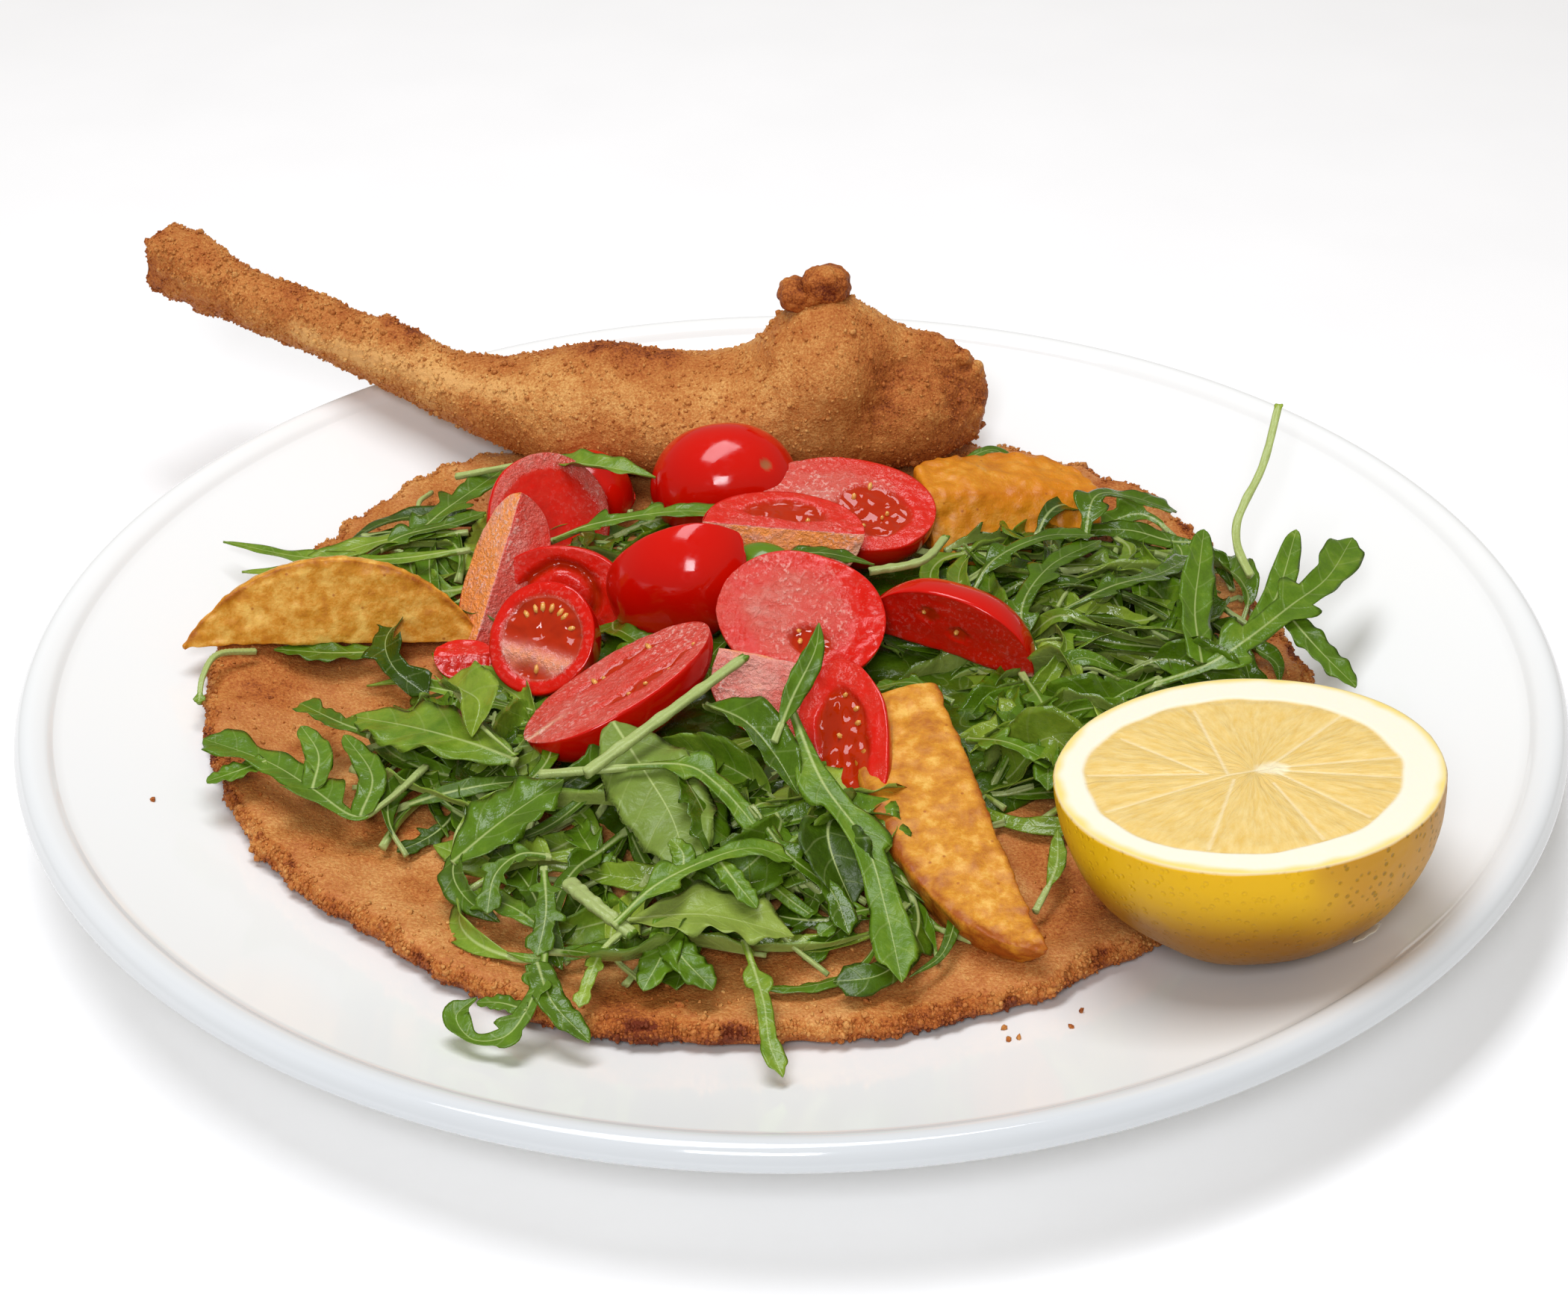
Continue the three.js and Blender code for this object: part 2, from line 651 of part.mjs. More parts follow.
// The leaves that stand out of the heap, each from its stem to its tip.
const LEAVES = [
  // left, over the round's edge
  {
    path: [[-58, -28, 17], [-74, -41, 17.5], [-88, -33, 19], [-105, -22, 21]],
    wide: 13, lobes: 2, stem: 0.35, sides: [0.45, 1], tilt: 8,
  },
  {
    path: [[-56, 12, 15.5], [-80, 4, 15.5], [-98, 5, 18], [-109, 2, 19], [-111, -4, 18.5]],
    wide: 4.5, lobes: 0, stem: 0.1,
  },
  // behind the left potato wedge
  {
    path: [[-62, 52, 16.5], [-70, 50, 17], [-84, 45, 17.5], [-97, 41, 19.5], [-112, 48, 20]],
    wide: 4, lobes: 1, stem: 0.55,
  },
  {
    path: [[-106, 38, 19.5], [-93, 39, 18.5], [-73, 50, 18], [-63, 57, 16]],
    wide: 5, lobes: 1, stem: 0.5,
  },
  { path: [[-84, 37, 17], [-70, 43, 17.5], [-59, 46, 17]], wide: 4.5, lobes: 0, stem: 0.15 },
  { path: [[-76, 48, 16.5], [-70, 60, 18], [-58, 68, 17.5]], wide: 5, lobes: 1, stem: 0.1 },
  {
    path: [[-72, 75, 18], [-55, 71, 19.5], [-40, 71, 21], [-29, 70, 17]],
    wide: 4, lobes: 0, stem: 0.3,
  },
  { path: [[-48, 36, 22], [-28, 42, 28], [-8, 43, 26]], wide: 4, lobes: 1, stem: 0.3 },
  // front left
  { path: [[-78, -20, 18], [-63, -25, 21], [-46, -32, 24]], wide: 7.5, lobes: 0, stem: 0.05 },
  {
    path: [[-59, -56, 17.5], [-49, -50, 21], [-36, -44, 24]],
    wide: 6, lobes: 0, stem: 0.02, tilt: -10,
  },
  { path: [[-35, -44, 26], [-22, -36, 30], [-8, -25, 33]], wide: 1.6, lobes: 0, stem: 0.9 },
  { path: [[-43, -47, 26], [-18, -47, 28], [-8, -60, 25]], wide: 7, lobes: 1, stem: 0.45 },
  { path: [[-31, -76, 17.5], [-20, -68, 21], [-7, -55, 23]], wide: 8, lobes: 2, stem: 0.1 },
  { path: [[-2, -40, 24], [0, -33, 31], [6, -18, 38]], wide: 3.2, lobes: 0, stem: 0.3 },
  {
    path: [[-9, -28, 25], [5, -60, 25], [14, -81, 20], [17, -93, 18]],
    wide: 7, lobes: 2, stem: 0.02, tilt: 15,
  },
  { path: [[-26, -68, 17.5], [-12, -76, 18.5], [0, -81, 18]], wide: 7.5, lobes: 0, stem: 0.02 },
  { path: [[-30, -91, 18], [-21, -82, 18.5], [-12, -72, 18]], wide: 6, lobes: 1, stem: 0.02 },
  {
    path: [[-44, -62, 18], [-44, -78, 18], [-52, -91, 18.5], [-54, -101, 17]],
    wide: 6, lobes: 2, stem: 0.3,
  },
  { path: [[-48, -84, 18.5], [-42, -93, 18.5], [-33, -103, 16]], wide: 3, lobes: 0, stem: 0.02 },
  { path: [[-8, -72, 17.5], [-5, -92, 18.5], [-2, -112, 15.5]], wide: 3.4, lobes: 1, stem: 0.1 },
  // right
  {
    path: [[58, -12, 20], [76, -1, 24], [92, 12, 26], [107, 34, 27]],
    wide: 19, lobes: 3, stem: 0.12, sides: [1, 0.32], tilt: 28, fold: 0.05,
  },
  { path: [[80, 26, 17.5], [87, 40, 24], [93, 54, 31], [99, 66, 38]], wide: 1.2, lobes: 0, stem: 0.9 },
  { path: [[84, 12, 18], [97, 4, 18.5], [103, -8, 18]], wide: 5, lobes: 1, stem: 0.1 },
  {
    path: [[52, 42, 17.5], [59, 56, 18.5], [67, 60, 18.5], [80, 58, 18]],
    wide: 6, lobes: 1, stem: 0.1,
  },
  { path: [[22, 66, 17], [33, 73, 19], [42, 77, 22], [48, 72, 18]], wide: 3.4, lobes: 1, stem: 0.15 },
  { path: [[28, 34, 20], [44, 33, 24], [60, 44, 22]], wide: 6, lobes: 2, stem: 0.1 },
  { path: [[46, 12, 21], [62, 18, 25], [78, 24, 22]], wide: 6.5, lobes: 2, stem: 0.1 },
  { path: [[34, -14, 21], [48, -8, 24], [66, 2, 22]], wide: 6, lobes: 2, stem: 0.1 },
  { path: [[40, -18, 20], [42, -38, 18], [37, -56, 16.5]], wide: 5, lobes: 2, stem: 0.1 },
];

// ---------- assembly ----------

const group = new THREE.Group();

const chop = poundedRound().add(boneAndThickEnd()).add(boneKnob());
const dish = plate();

// The chop with its clear space above it and in front of it.
const chopRoom = chop.translate([0, -GAP, GAP]);

// Toppings in order; each is cut clear of the ones before it. `build` makes the
// piece, and with a clearance the space that it needs.
const toppings = [];
const toppingRooms = [];
function place(name, build, material) {
  const solid = clearOf(build(0), [...toppingRooms, chopRoom]);
  toppings.push(meshOf(name, solid, material));
  toppingRooms.push(build(GAP));
}
place("lemon_half", lemonHalf, LEMON_PEEL);
for (const [name, shape] of Object.entries(POTATOES)) {
  place(name, (clearance) => lengthwisePiece(shape, clearance), FRIED_POTATO);
}
for (const [name, shape] of Object.entries(TOMATOES)) {
  place(name, (clearance) => lengthwisePiece(shape, clearance), TOMATO_RED);
}
place("cucumber_piece", (clearance) => lengthwisePiece(CUCUMBER, clearance), CUCUMBER_GREEN);

const leaves = manifold.Manifold.union([heapCore(), ...LEAVES.map(rocketLeaf)]);
const rocketRoom = [...toppingRooms, chopRoom, dish.translate([0, 0, GAP])];
const finestFold = 0.1; // smaller steps in the leaves' surface are smoothed away
const rocket = clearOf(leaves, rocketRoom).simplify(finestFold);

group.add(meshOf("plate", dish, PORCELAIN));
group.add(meshOf("cutlet", chop, BREADCRUMB));
group.add(...toppings);
group.add(meshOf("rocket_salad", rocket, ROCKET_GREEN));

export default group;
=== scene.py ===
"""A bone-in breaded veal chop on its plate, with rocket, tomatoes, fried potato and lemon.

Laid out as an add-on: property groups hold the sizes and colours, one operator makes
each kind of food, and a panel in the sidebar lists them. Shapes are numpy surfaces in
millimetres, turned to metres when a mesh is made.
"""

import math

import bpy
import numpy as np
from bpy.props import FloatProperty, IntProperty, PointerProperty, StringProperty
from mathutils import Matrix, Vector


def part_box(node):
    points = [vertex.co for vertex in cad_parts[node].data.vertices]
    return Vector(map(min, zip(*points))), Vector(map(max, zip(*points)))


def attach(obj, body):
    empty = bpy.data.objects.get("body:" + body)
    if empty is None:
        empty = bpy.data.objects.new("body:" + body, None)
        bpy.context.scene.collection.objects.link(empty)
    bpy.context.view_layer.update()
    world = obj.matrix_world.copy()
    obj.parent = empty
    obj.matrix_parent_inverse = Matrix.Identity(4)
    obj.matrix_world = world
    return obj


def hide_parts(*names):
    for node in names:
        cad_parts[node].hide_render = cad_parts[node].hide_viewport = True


bl_info = {
    "name": "Bone-in schnitzel plate",
    "version": (1, 0, 0),
    "blender": (4, 5, 0),
    "location": "3D View > Sidebar > Schnitzel",
    "description": "Builds a breaded veal chop with its salad, tomatoes, potatoes and lemon",
    "category": "Add Mesh",
}

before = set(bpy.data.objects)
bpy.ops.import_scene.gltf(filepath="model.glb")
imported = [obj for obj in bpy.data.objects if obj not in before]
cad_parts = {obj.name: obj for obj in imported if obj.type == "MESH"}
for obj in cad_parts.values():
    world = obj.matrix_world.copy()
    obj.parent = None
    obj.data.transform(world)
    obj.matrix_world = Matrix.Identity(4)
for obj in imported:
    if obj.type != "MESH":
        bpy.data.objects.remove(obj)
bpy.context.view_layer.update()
PLATE_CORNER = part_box("plate")[1]

MM = 0.001  # metres in a millimetre
GAP = 0.3  # mm between a piece and the plate it lies on
TAU = 2 * math.pi


# ---------- numbers and fields ----------


def linear(text):
    """An sRGB hex colour as the linear RGBA that shaders take."""
    values = [int(text[i : i + 2], 16) / 255 for i in (1, 3, 5)]
    values = [v / 12.92 if v <= 0.04045 else ((v + 0.055) / 1.055) ** 2.4 for v in values]
    return (*values, 1.0)


def smooth_step(low, high, x):
    """0 below low, 1 above high, and 3t^2 - 2t^3 between them."""
    t = np.clip((x - low) / (high - low), 0, 1)
    return t * t * (3 - 2 * t)


# Large odd numbers that scatter the bits of a cell's place, and of the sum after that.
CELL_PRIMES, SEED_PRIME = (374761393, 668265263, 2246822519), 3266489917
MIX_STEPS = ((13, 1274126177), (15, 2246822519))


def hashed(cells, seed):
    """A fixed random value 0..1 for each cell with whole-number corners: the corners times
    large primes, summed, with the high bits folded on to the low ones."""
    h = sum(cells[..., k] * prime for k, prime in enumerate(CELL_PRIMES)) + seed * SEED_PRIME
    h = h & 0xFFFFFFFF
    for shift, prime in MIX_STEPS:
        h = ((h ^ (h >> shift)) * prime) & 0xFFFFFFFF
    return ((h ^ (h >> 16)) & 0xFFFFFF) / 0xFFFFFF


def value_noise(points, size, seed):
    """A smooth random field, -1..1: the 8 corner values of a cell, blended by 3t^2 - 2t^3."""
    q = np.asarray(points) / size
    cell = np.floor(q).astype(np.int64)
    t = q - cell
    t = t * t * (3 - 2 * t)
    total = np.zeros(q.shape[:-1])
    for corner in np.ndindex(2, 2, 2):
        corner = np.array(corner)
        weight = np.prod(np.where(corner == 1, t, 1 - t), axis=-1)
        total += weight * hashed(cell + corner, seed)
    return total * 2 - 1


def rugged(points, size, octaves, seed):
    """Value noise summed over octaves, each half as large and half as strong."""
    total = sum(value_noise(points, size / 2**k, seed + 17 * k) / 2**k for k in range(octaves))
    return total / (2 - 2 ** (1 - octaves))


def grains_field(points, size, seed):
    """Rounded grains packed at random: 1 at the middle of the nearest one, 0 at `size` from it."""
    q = np.asarray(points) / size
    cell = np.floor(q).astype(np.int64)
    nearest = np.full(q.shape[:-1], 9.0)
    for shift in np.ndindex(3, 3, 3):
        near = cell + np.array(shift) - 1
        middle = near + np.stack([hashed(near, seed + k) for k in range(3)], axis=-1)
        nearest = np.minimum(nearest, np.sum((q - middle) ** 2, axis=-1))
    return np.clip(1 - np.sqrt(nearest), 0, 1)


def spline(points, t):
    """Catmull-Rom: a smooth curve through the points, t running 0..1 over them."""
    p = np.asarray(points, dtype=float)
    p = np.vstack([2 * p[:1] - p[1:2], p, 2 * p[-1:] - p[-2:-1]])
    spans = len(p) - 3
    x = np.clip(t, 0, 1) * spans
    i = np.minimum(x.astype(int), spans - 1)
    f = (x - i)[..., None]
    a, b, c, d = p[i], p[i + 1], p[i + 2], p[i + 3]
    square, cube = 2 * a - 5 * b + 4 * c - d, 3 * b - a - 3 * c + d
    return 0.5 * (2 * b + (c - a) * f + square * f**2 + cube * f**3)


LENGTH_STEPS = 400  # straight pieces by which a curve's length is measured


def even_spline(points, count):
    """The same curve at `count` places spaced evenly along its length."""
    t = np.linspace(0, 1, LENGTH_STEPS)
    line = spline(points, t)
    walked = np.concatenate([[0], np.cumsum(np.linalg.norm(np.diff(line[:, :3], axis=0), axis=1))])
    return spline(points, np.interp(np.linspace(0, walked[-1], count), walked, t))


def to_line(points, corners):
    """Distance from each point to the nearest of the straight pieces between the corners."""
    nearest = np.full(points.shape[:-1], np.inf)
    corners = np.asarray(corners, dtype=float)
    for a, b in zip(corners[:-1], corners[1:]):
        along = np.clip(np.sum((points - a) * (b - a), axis=-1) / np.sum((b - a) ** 2), 0, 1)
        off = points - a - along[..., None] * (b - a)
        nearest = np.minimum(nearest, np.linalg.norm(off, axis=-1))
    return nearest


def unit(vectors):
    """The same directions with length 1."""
    length = np.linalg.norm(vectors, axis=-1, keepdims=True)
    return vectors / np.maximum(length, 1e-9)


def xyz(x, y, z=0.0):
    """Points from their coordinates, each an array or one number for all."""
    return np.stack(np.broadcast_arrays(x, y, z), axis=-1)


def full_turn(count):
    """Angles spaced evenly all the way round."""
    return np.arange(count) / count * TAU


# ---------- meshes ----------


def skin(rings, values=None):
    """A closed skin over rings (ring, place, xyz): four-sided faces between neighbours, and a
    fan of triangles round the middle of the first and of the last ring. Values are one array
    (ring, place) for each named attribute. Turned over if its volume comes out negative."""
    count, around = rings.shape[:2]
    index = np.arange(count * around).reshape(count, around)
    after = np.roll(index, -1, axis=1)
    quads = np.stack([index[:-1], after[:-1], after[1:], index[1:]], axis=-1).reshape(-1, 4)
    first, last = count * around, count * around + 1
    fans = [
        np.stack([np.full(around, first), after[0], index[0]], axis=-1),
        np.stack([np.full(around, last), index[-1], after[-1]], axis=-1),
    ]
    points = np.vstack([rings.reshape(-1, 3), rings[0].mean(axis=0), rings[-1].mean(axis=0)])
    triangles = np.vstack([quads[:, [0, 1, 2]], quads[:, [0, 2, 3]], *fans])
    a, b, c = (points[triangles[:, k]] for k in range(3))
    if np.sum(a * np.cross(b, c)) < 0:
        quads = quads[:, ::-1]
        fans = [fan[:, ::-1] for fan in fans]
    values = {
        name: np.concatenate([grid.reshape(-1), [grid[0].mean(), grid[-1].mean()]])
        for name, grid in (values or {}).items()
    }
    return points, [quads, *fans], values


def new_object(name, data):
    """An object in the scene that shows the mesh, light or camera given."""
    made = bpy.data.objects.new(name, data)
    bpy.context.scene.collection.objects.link(made)
    return made


def make_piece(name, skins, material, replaces=()):
    """One mesh object out of several skins, smooth shaded, with their values as attributes."""
    points, faces, start = [], [], 0
    for some, groups, _ in skins:
        points.append(some)
        faces += [group + start for group in groups]
        start += len(some)
    mesh = bpy.data.meshes.new(name)
    faces = [face for group in faces for face in group.tolist()]
    mesh.from_pydata(np.vstack(points) * MM, [], faces)
    for key in skins[0][2]:
        attribute = mesh.attributes.new(key, "FLOAT", "POINT")
        attribute.data.foreach_set("value", np.concatenate([values[key] for _, _, values in skins]))
    mesh.shade_smooth()
    mesh.materials.append(material)
    piece = new_object(name, mesh)
    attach(piece, "root")
    if replaces:
        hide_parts(*replaces)
    return piece


def ring_normals(rings):
    """Outward unit normals of a closed skin's rings: the cross product of the steps along and
    around, with the sign that points away from each ring's middle on the whole."""
    along = np.gradient(rings, axis=0)
    around = np.roll(rings, -1, axis=1) - np.roll(rings, 1, axis=1)
    normals = unit(np.cross(around, along))
    outward = rings - rings.mean(axis=1, keepdims=True)
    return normals if np.sum(normals * outward) > 0 else -normals


def lump_shape():
    """The 12 points and 20 faces of an icosahedron of radius 1."""
    g = (1 + math.sqrt(5)) / 2
    flat = np.array([(-1, g), (1, g), (-1, -g), (1, -g)])
    zero = np.zeros((4, 1))
    points = np.vstack([
        np.hstack([flat, zero]),
        np.hstack([zero, flat]),
        np.hstack([flat[:, 1:], zero, flat[:, :1]]),
    ])
    points = unit(points)
    gaps = np.linalg.norm(points[:, None] - points[None], axis=-1)
    near = (gaps > 0) & (gaps < 1.2)
    faces = [
        (i, j, k)
        for i in range(12) for j in range(i + 1, 12) for k in range(j + 1, 12)
        if near[i, j] and near[j, k] and near[i, k]
    ]
    faces = np.array(faces)
    a, b, c = (points[faces[:, k]] for k in range(3))
    inward = np.sum(np.cross(b - a, c - a) * a, axis=1) < 0
    faces[inward] = faces[inward][:, ::-1]
    return points, faces


def placed_lumps(corners, faces, places, ahead, side):
    """Lumps (lump, corner, xyz) with their x and y axes turned to `ahead` and `side`, each
    moved to its place: the product of its corners with the three axes."""
    turn = np.stack([ahead, side, np.cross(ahead, side)], axis=1)
    points = np.einsum("lcx,lxy->lcy", corners, turn) + places[:, None, :]
    faces = faces + corners.shape[1] * np.arange(len(places))[:, None, None]
    return points.reshape(-1, 3), [faces.reshape(-1, 3)]


def scatter_lumps(places, sizes, rng, rough, values):
    """One small lump of 20 faces at each place: an icosahedron with its corners moved in and
    out at random, stretched by `sizes` (lump, xyz) and turned about a random axis."""
    shape, faces = lump_shape()
    count, corners = len(places), len(shape)
    shapes = shape * (1 + rough * rng.uniform(-1, 1, (count, corners, 1))) * sizes[:, None, :]
    ahead = unit(rng.normal(size=(count, 3)))
    side = unit(np.cross(ahead, unit(rng.normal(size=(count, 3)))))
    values = {key: np.repeat(value, corners) for key, value in values.items()}
    return *placed_lumps(shapes, faces, places, ahead, side), values


# ---------- finishes ----------


def feed(node, inputs):
    """Give a node its inputs: a dict by socket name, or a list for its sockets in use, in
    their order (noise: place, scale, detail, roughness; range: value, from and to, new from
    and to; mix: share, first, second). Each is a number, a hex colour, a socket to link, or a
    node, whose first output in use is linked."""
    in_use = [socket for socket in node.inputs if socket.enabled]
    pairs = inputs.items() if isinstance(inputs, dict) else enumerate(inputs)
    for key, value in pairs:
        socket = in_use[key] if isinstance(key, int) else node.inputs[key]
        if isinstance(value, bpy.types.Node):
            value = next(output for output in value.outputs if output.enabled)
        if isinstance(value, bpy.types.NodeSocket):
            node.id_data.links.new(value, socket)
        else:
            socket.default_value = linear(value) if isinstance(value, str) else value


def add(tree, kind, inputs=(), **settings):
    """A shader node with its settings and its inputs."""
    made = tree.nodes.new("ShaderNode" + kind)
    for key, value in settings.items():
        setattr(made, key, value)
    feed(made, inputs)
    return made


def set_stops(ramp, *stops):
    """Give a colour ramp its stops: place and hex colour, in rising order."""
    elements = ramp.color_ramp.elements
    for element, (place, colour) in zip(elements, (stops[0], stops[-1])):
        element.position, element.color = place, linear(colour)
    for place, colour in stops[1:-1]:
        elements.new(place).color = linear(colour)


def new_finish(name, attributes="", **constants):
    """An empty finish: its material, its tree, its shader with the values that hold all over
    it, Object coordinates, and the mesh's own values for the attributes named."""
    material = bpy.data.materials.new(name)
    material.use_nodes = True
    tree = material.node_tree
    shader = tree.nodes["Principled BSDF"]
    feed(shader, {key.replace("_", " "): value for key, value in constants.items()})
    coords = add(tree, "TexCoord").outputs["Object"]
    read = [
        add(tree, "Attribute", attribute_name=attribute).outputs["Fac"]
        for attribute in attributes.split()
    ]
    return material, tree, shader, coords, *read


def glazed_porcelain():
    """Feldspar porcelain, fired with a clear glaze: white, with a hard clear reflection, and
    painted shade: a cooler grey on the lip, strongest towards the front."""
    material, tree, shader, coords = new_finish("glazed_porcelain", IOR=1.5, Roughness=0.08)
    cloud = add(tree, "TexNoise", [coords, 1 / (60 * MM)])
    tint = add(tree, "Mix", [cloud, "#F4F4F1", "#F2F4F4"], data_type="RGBA")
    # Painted shade: the outer lip turns a cooler grey towards the front.
    flat = add(tree, "VectorMath", [coords, (1.0, 1.0, 0.0)], operation="MULTIPLY")
    out = add(tree, "VectorMath", [flat], operation="LENGTH")
    lip = add(tree, "MapRange", [out, INNER_RADIUS * MM, (INNER_RADIUS + 5) * MM])
    split = add(tree, "SeparateXYZ", [coords])
    low = add(tree, "MapRange", [split.outputs["Y"], 30 * MM, -130 * MM])
    front_lip_shade = add(tree, "Math", [lip, low], operation="MULTIPLY")
    lip_painted_shade = add(tree, "Mix", [front_lip_shade, tint, "#CDD1D4"], data_type="RGBA")
    # The glaze pools very slightly, which only bends the long reflections.
    wave = add(tree, "TexNoise", [coords, 1 / (18 * MM)])
    bump = add(tree, "Bump", {"Strength": 0.05, "Distance": 0.3 * MM, "Height": wave})
    feed(shader, {"Base Color": lip_painted_shade, "Normal": bump})
    return material


def fried_breadcrumb(settings):
    """Fine dry breadcrumb fried in fat: sandy grains from pale gold to brown over a darker
    ground, dull on the crags and slightly greasy where the meat lies smooth."""
    material, tree, shader, coords, toast, grease = new_finish(
        "fried_breadcrumb", "toast grease", IOR=1.47, Specular_IOR_Level=0.25)
    # Grains of 0.5 mm, the size of sieved breadcrumb, patches 8 mm wide and clumps of 2 mm:
    # detail, roughness, from and to, and how far each turns the browning up or down.
    shifts = []
    for size, detail, roughness, low, high, share in (
        (0.5, 2.0, 0.6, 0.3, 0.72, 0.2),
        (8, 5.0, 0.65, 0.3, 0.7, -0.17),
        (2.0, 3.0, 0.7, 0.3, 0.7, 0.14),
    ):
        noise = add(tree, "TexNoise", [coords, 1 / (size * MM), detail, roughness])
        shifts.append(add(tree, "MapRange", [noise, low, high, share, -share]))
    browning = shifts[0]
    for shift in (*shifts[1:], toast):
        browning = add(tree, "Math", [browning, shift], operation="ADD")
    ramp = add(tree, "ValToRGB", [browning])
    set_stops(ramp, (0.0, settings.pale_crumb), (0.35, settings.golden_crumb),
              (0.65, settings.brown_crumb), (1.0, settings.burnt_crumb))
    # Where the crumb is thin and greasy it turns pinker: partly the meat showing through, partly a
    # painted sheen.
    thin = add(tree, "Math", [grease, 0.35], operation="MULTIPLY")
    meat_and_sheen = add(tree, "Mix", [thin, ramp, settings.thin_crumb_and_sheen], data_type="RGBA")
    dull = add(tree, "MapRange", [grease, 0.0, 1.0, 0.62, 0.3])
    fine = add(tree, "TexNoise", [coords, 1 / (0.7 * MM), 3.0, 0.7])
    height = add(tree, "MapRange", [grease, 0.0, 1.0, 1.0, 0.6])
    bump = add(tree, "Bump", {"Strength": height, "Distance": 0.6 * MM, "Height": fine})
    feed(shader, {"Base Color": meat_and_sheen, "Roughness": dull, "Normal": bump})
    return material


def fried_potato(settings):
    """Peeled potato fried till golden: pale gold flesh with browned edges, ripples and
    freckles, under a thin film of oil."""
    material, tree, shader, coords, edge, amber = new_finish(
        "fried_potato", "edge amber", IOR=1.47, Coat_Weight=0.12, Coat_Roughness=0.25,
        Subsurface_Weight=0.08, Subsurface_Scale=1.2 * MM, Specular_IOR_Level=0.25)
    patch = add(tree, "TexNoise", [coords, 1 / (3.6 * MM), 6.0, 0.66])
    blotch = add(tree, "MapRange", [patch, 0.36, 0.64, 0.0, 0.56])
    cooked = add(tree, "Math", [edge, 0.68, blotch], operation="MULTIPLY_ADD")
    ramp = add(tree, "ValToRGB", [cooked])
    set_stops(ramp, (0.0, settings.pale), (0.36, settings.golden), (0.95, settings.brown))
    glazed = add(tree, "Mix", [amber, ramp, settings.amber], data_type="RGBA")
    # Freckles of burnt starch, 0.3 to 0.8 mm wide and about 3 mm apart.
    freckle = add(tree, "TexVoronoi", [coords, 1 / (3.2 * MM)])
    dot = add(tree, "MapRange", [freckle, 0.05, 0.12, 0.7, 0.0])
    freckled = add(tree, "Mix", [dot, glazed, settings.brown], data_type="RGBA")
    dull = add(tree, "MapRange", [amber, 0.0, 1.0, 0.5, 0.22])
    blister = add(tree, "TexNoise", [coords, 1 / (0.9 * MM), 4.0, 0.65])
    bump = add(tree, "Bump", {"Strength": 0.5, "Distance": 0.45 * MM, "Height": blister})
    feed(shader, {"Base Color": freckled, "Roughness": dull, "Normal": bump})
    return material


def ripe_tomato(settings):
    """Ripe plum tomato: thin glossy red skin, moist flesh with pale specks on its cut cells
    as painted glints, and clear orange-red gel in the seed pockets."""
    material, tree, shader, coords, cut, gel, core, tone, scar = new_finish(
        "ripe_tomato", "cut gel core tone scar", IOR=1.42, Specular_IOR_Level=0.48,
        Subsurface_Weight=0.07, Subsurface_Scale=1.2 * MM, Subsurface_Radius=(1.0, 0.15, 0.08))
    mottle = add(tree, "TexNoise", [coords, 1 / (1.8 * MM), 4.0, 0.65])
    shift = add(tree, "MapRange", [mottle, 0.3, 0.7, -0.08, 0.08])
    mixed = add(tree, "Math", [tone, shift], operation="ADD")
    ramp = add(tree, "ValToRGB", [mixed])
    set_stops(ramp, (0.0, settings.flesh_red), (0.3, settings.flesh_rose),
              (0.55, settings.flesh_pink), (0.78, settings.flesh_pale),
              (1.0, settings.flesh_orange))
    cored = add(tree, "Mix", [core, ramp, settings.core], data_type="RGBA")
    gelled = add(tree, "Mix", [gel, cored, settings.gel], data_type="RGBA")
    depth = add(tree, "TexNoise", [coords, 1 / (11 * MM)])
    # Cut cells of 0.8 mm, most open in the pale flesh; in wet patches they get pale specks, painted
    # highlights for the glints on their wet walls.
    cells = add(tree, "TexNoise", [coords, 1 / (0.8 * MM), 3.0, 0.65])
    dry = add(tree, "Math", [cut, gel], operation="SUBTRACT", use_clamp=True)
    pithy = add(tree, "MapRange", [tone, 0.1, 0.6, 0.12, 0.9])
    cellular = add(tree, "Math", [dry, pithy], operation="MULTIPLY")
    wetted = add(tree, "MapRange", [depth, 0.42, 0.6, 0.15, 1.0])
    painted_glint_mask = add(tree, "MapRange", [cells, 0.53, 0.64, 0.0, 0.8])
    lit = add(tree, "Math", [wetted, painted_glint_mask], operation="MULTIPLY")
    painted_glint_specks = add(tree, "Math", [lit, cellular], operation="MULTIPLY")
    flesh = add(tree, "Mix", [painted_glint_specks, gelled, settings.cells], data_type="RGBA")
    red = add(tree, "Mix", [depth, settings.skin, settings.skin_orange], data_type="RGBA")
    scarred = add(tree, "Mix", [scar, red, settings.scar], data_type="RGBA")
    whole = add(tree, "Mix", [cut, scarred, flesh], data_type="RGBA")
    wet = add(tree, "MapRange", [gel, 0.0, 1.0, 0.18, 0.04])
    # The skin is smooth, with dull bloom in patches that roughens its highlights.
    bloom = add(tree, "MapRange", [mottle, 0.35, 0.65, 0.05, 0.2])
    rough = add(tree, "Mix", [cut, bloom, wet], data_type="FLOAT")
    bump = add(tree, "Bump", {"Strength": cellular, "Distance": 1.1 * MM, "Height": cells})
    feed(shader, {"Base Color": whole, "Roughness": rough, "Normal": bump})
    return material


def tomato_seed(settings):
    """Flat pale yellow seed in its wet coat of gel."""
    material, tree, shader, coords = new_finish(
        "tomato_seed", IOR=1.4, Roughness=0.15, Coat_Weight=0.6,
        Subsurface_Weight=0.2, Subsurface_Scale=1 * MM)
    shade = add(tree, "TexNoise", [coords, 1 / (1.5 * MM)])
    tint = add(tree, "Mix", [shade, settings.seed, settings.seed_shadow], data_type="RGBA")
    feed(shader, {"Base Color": tint})
    return material


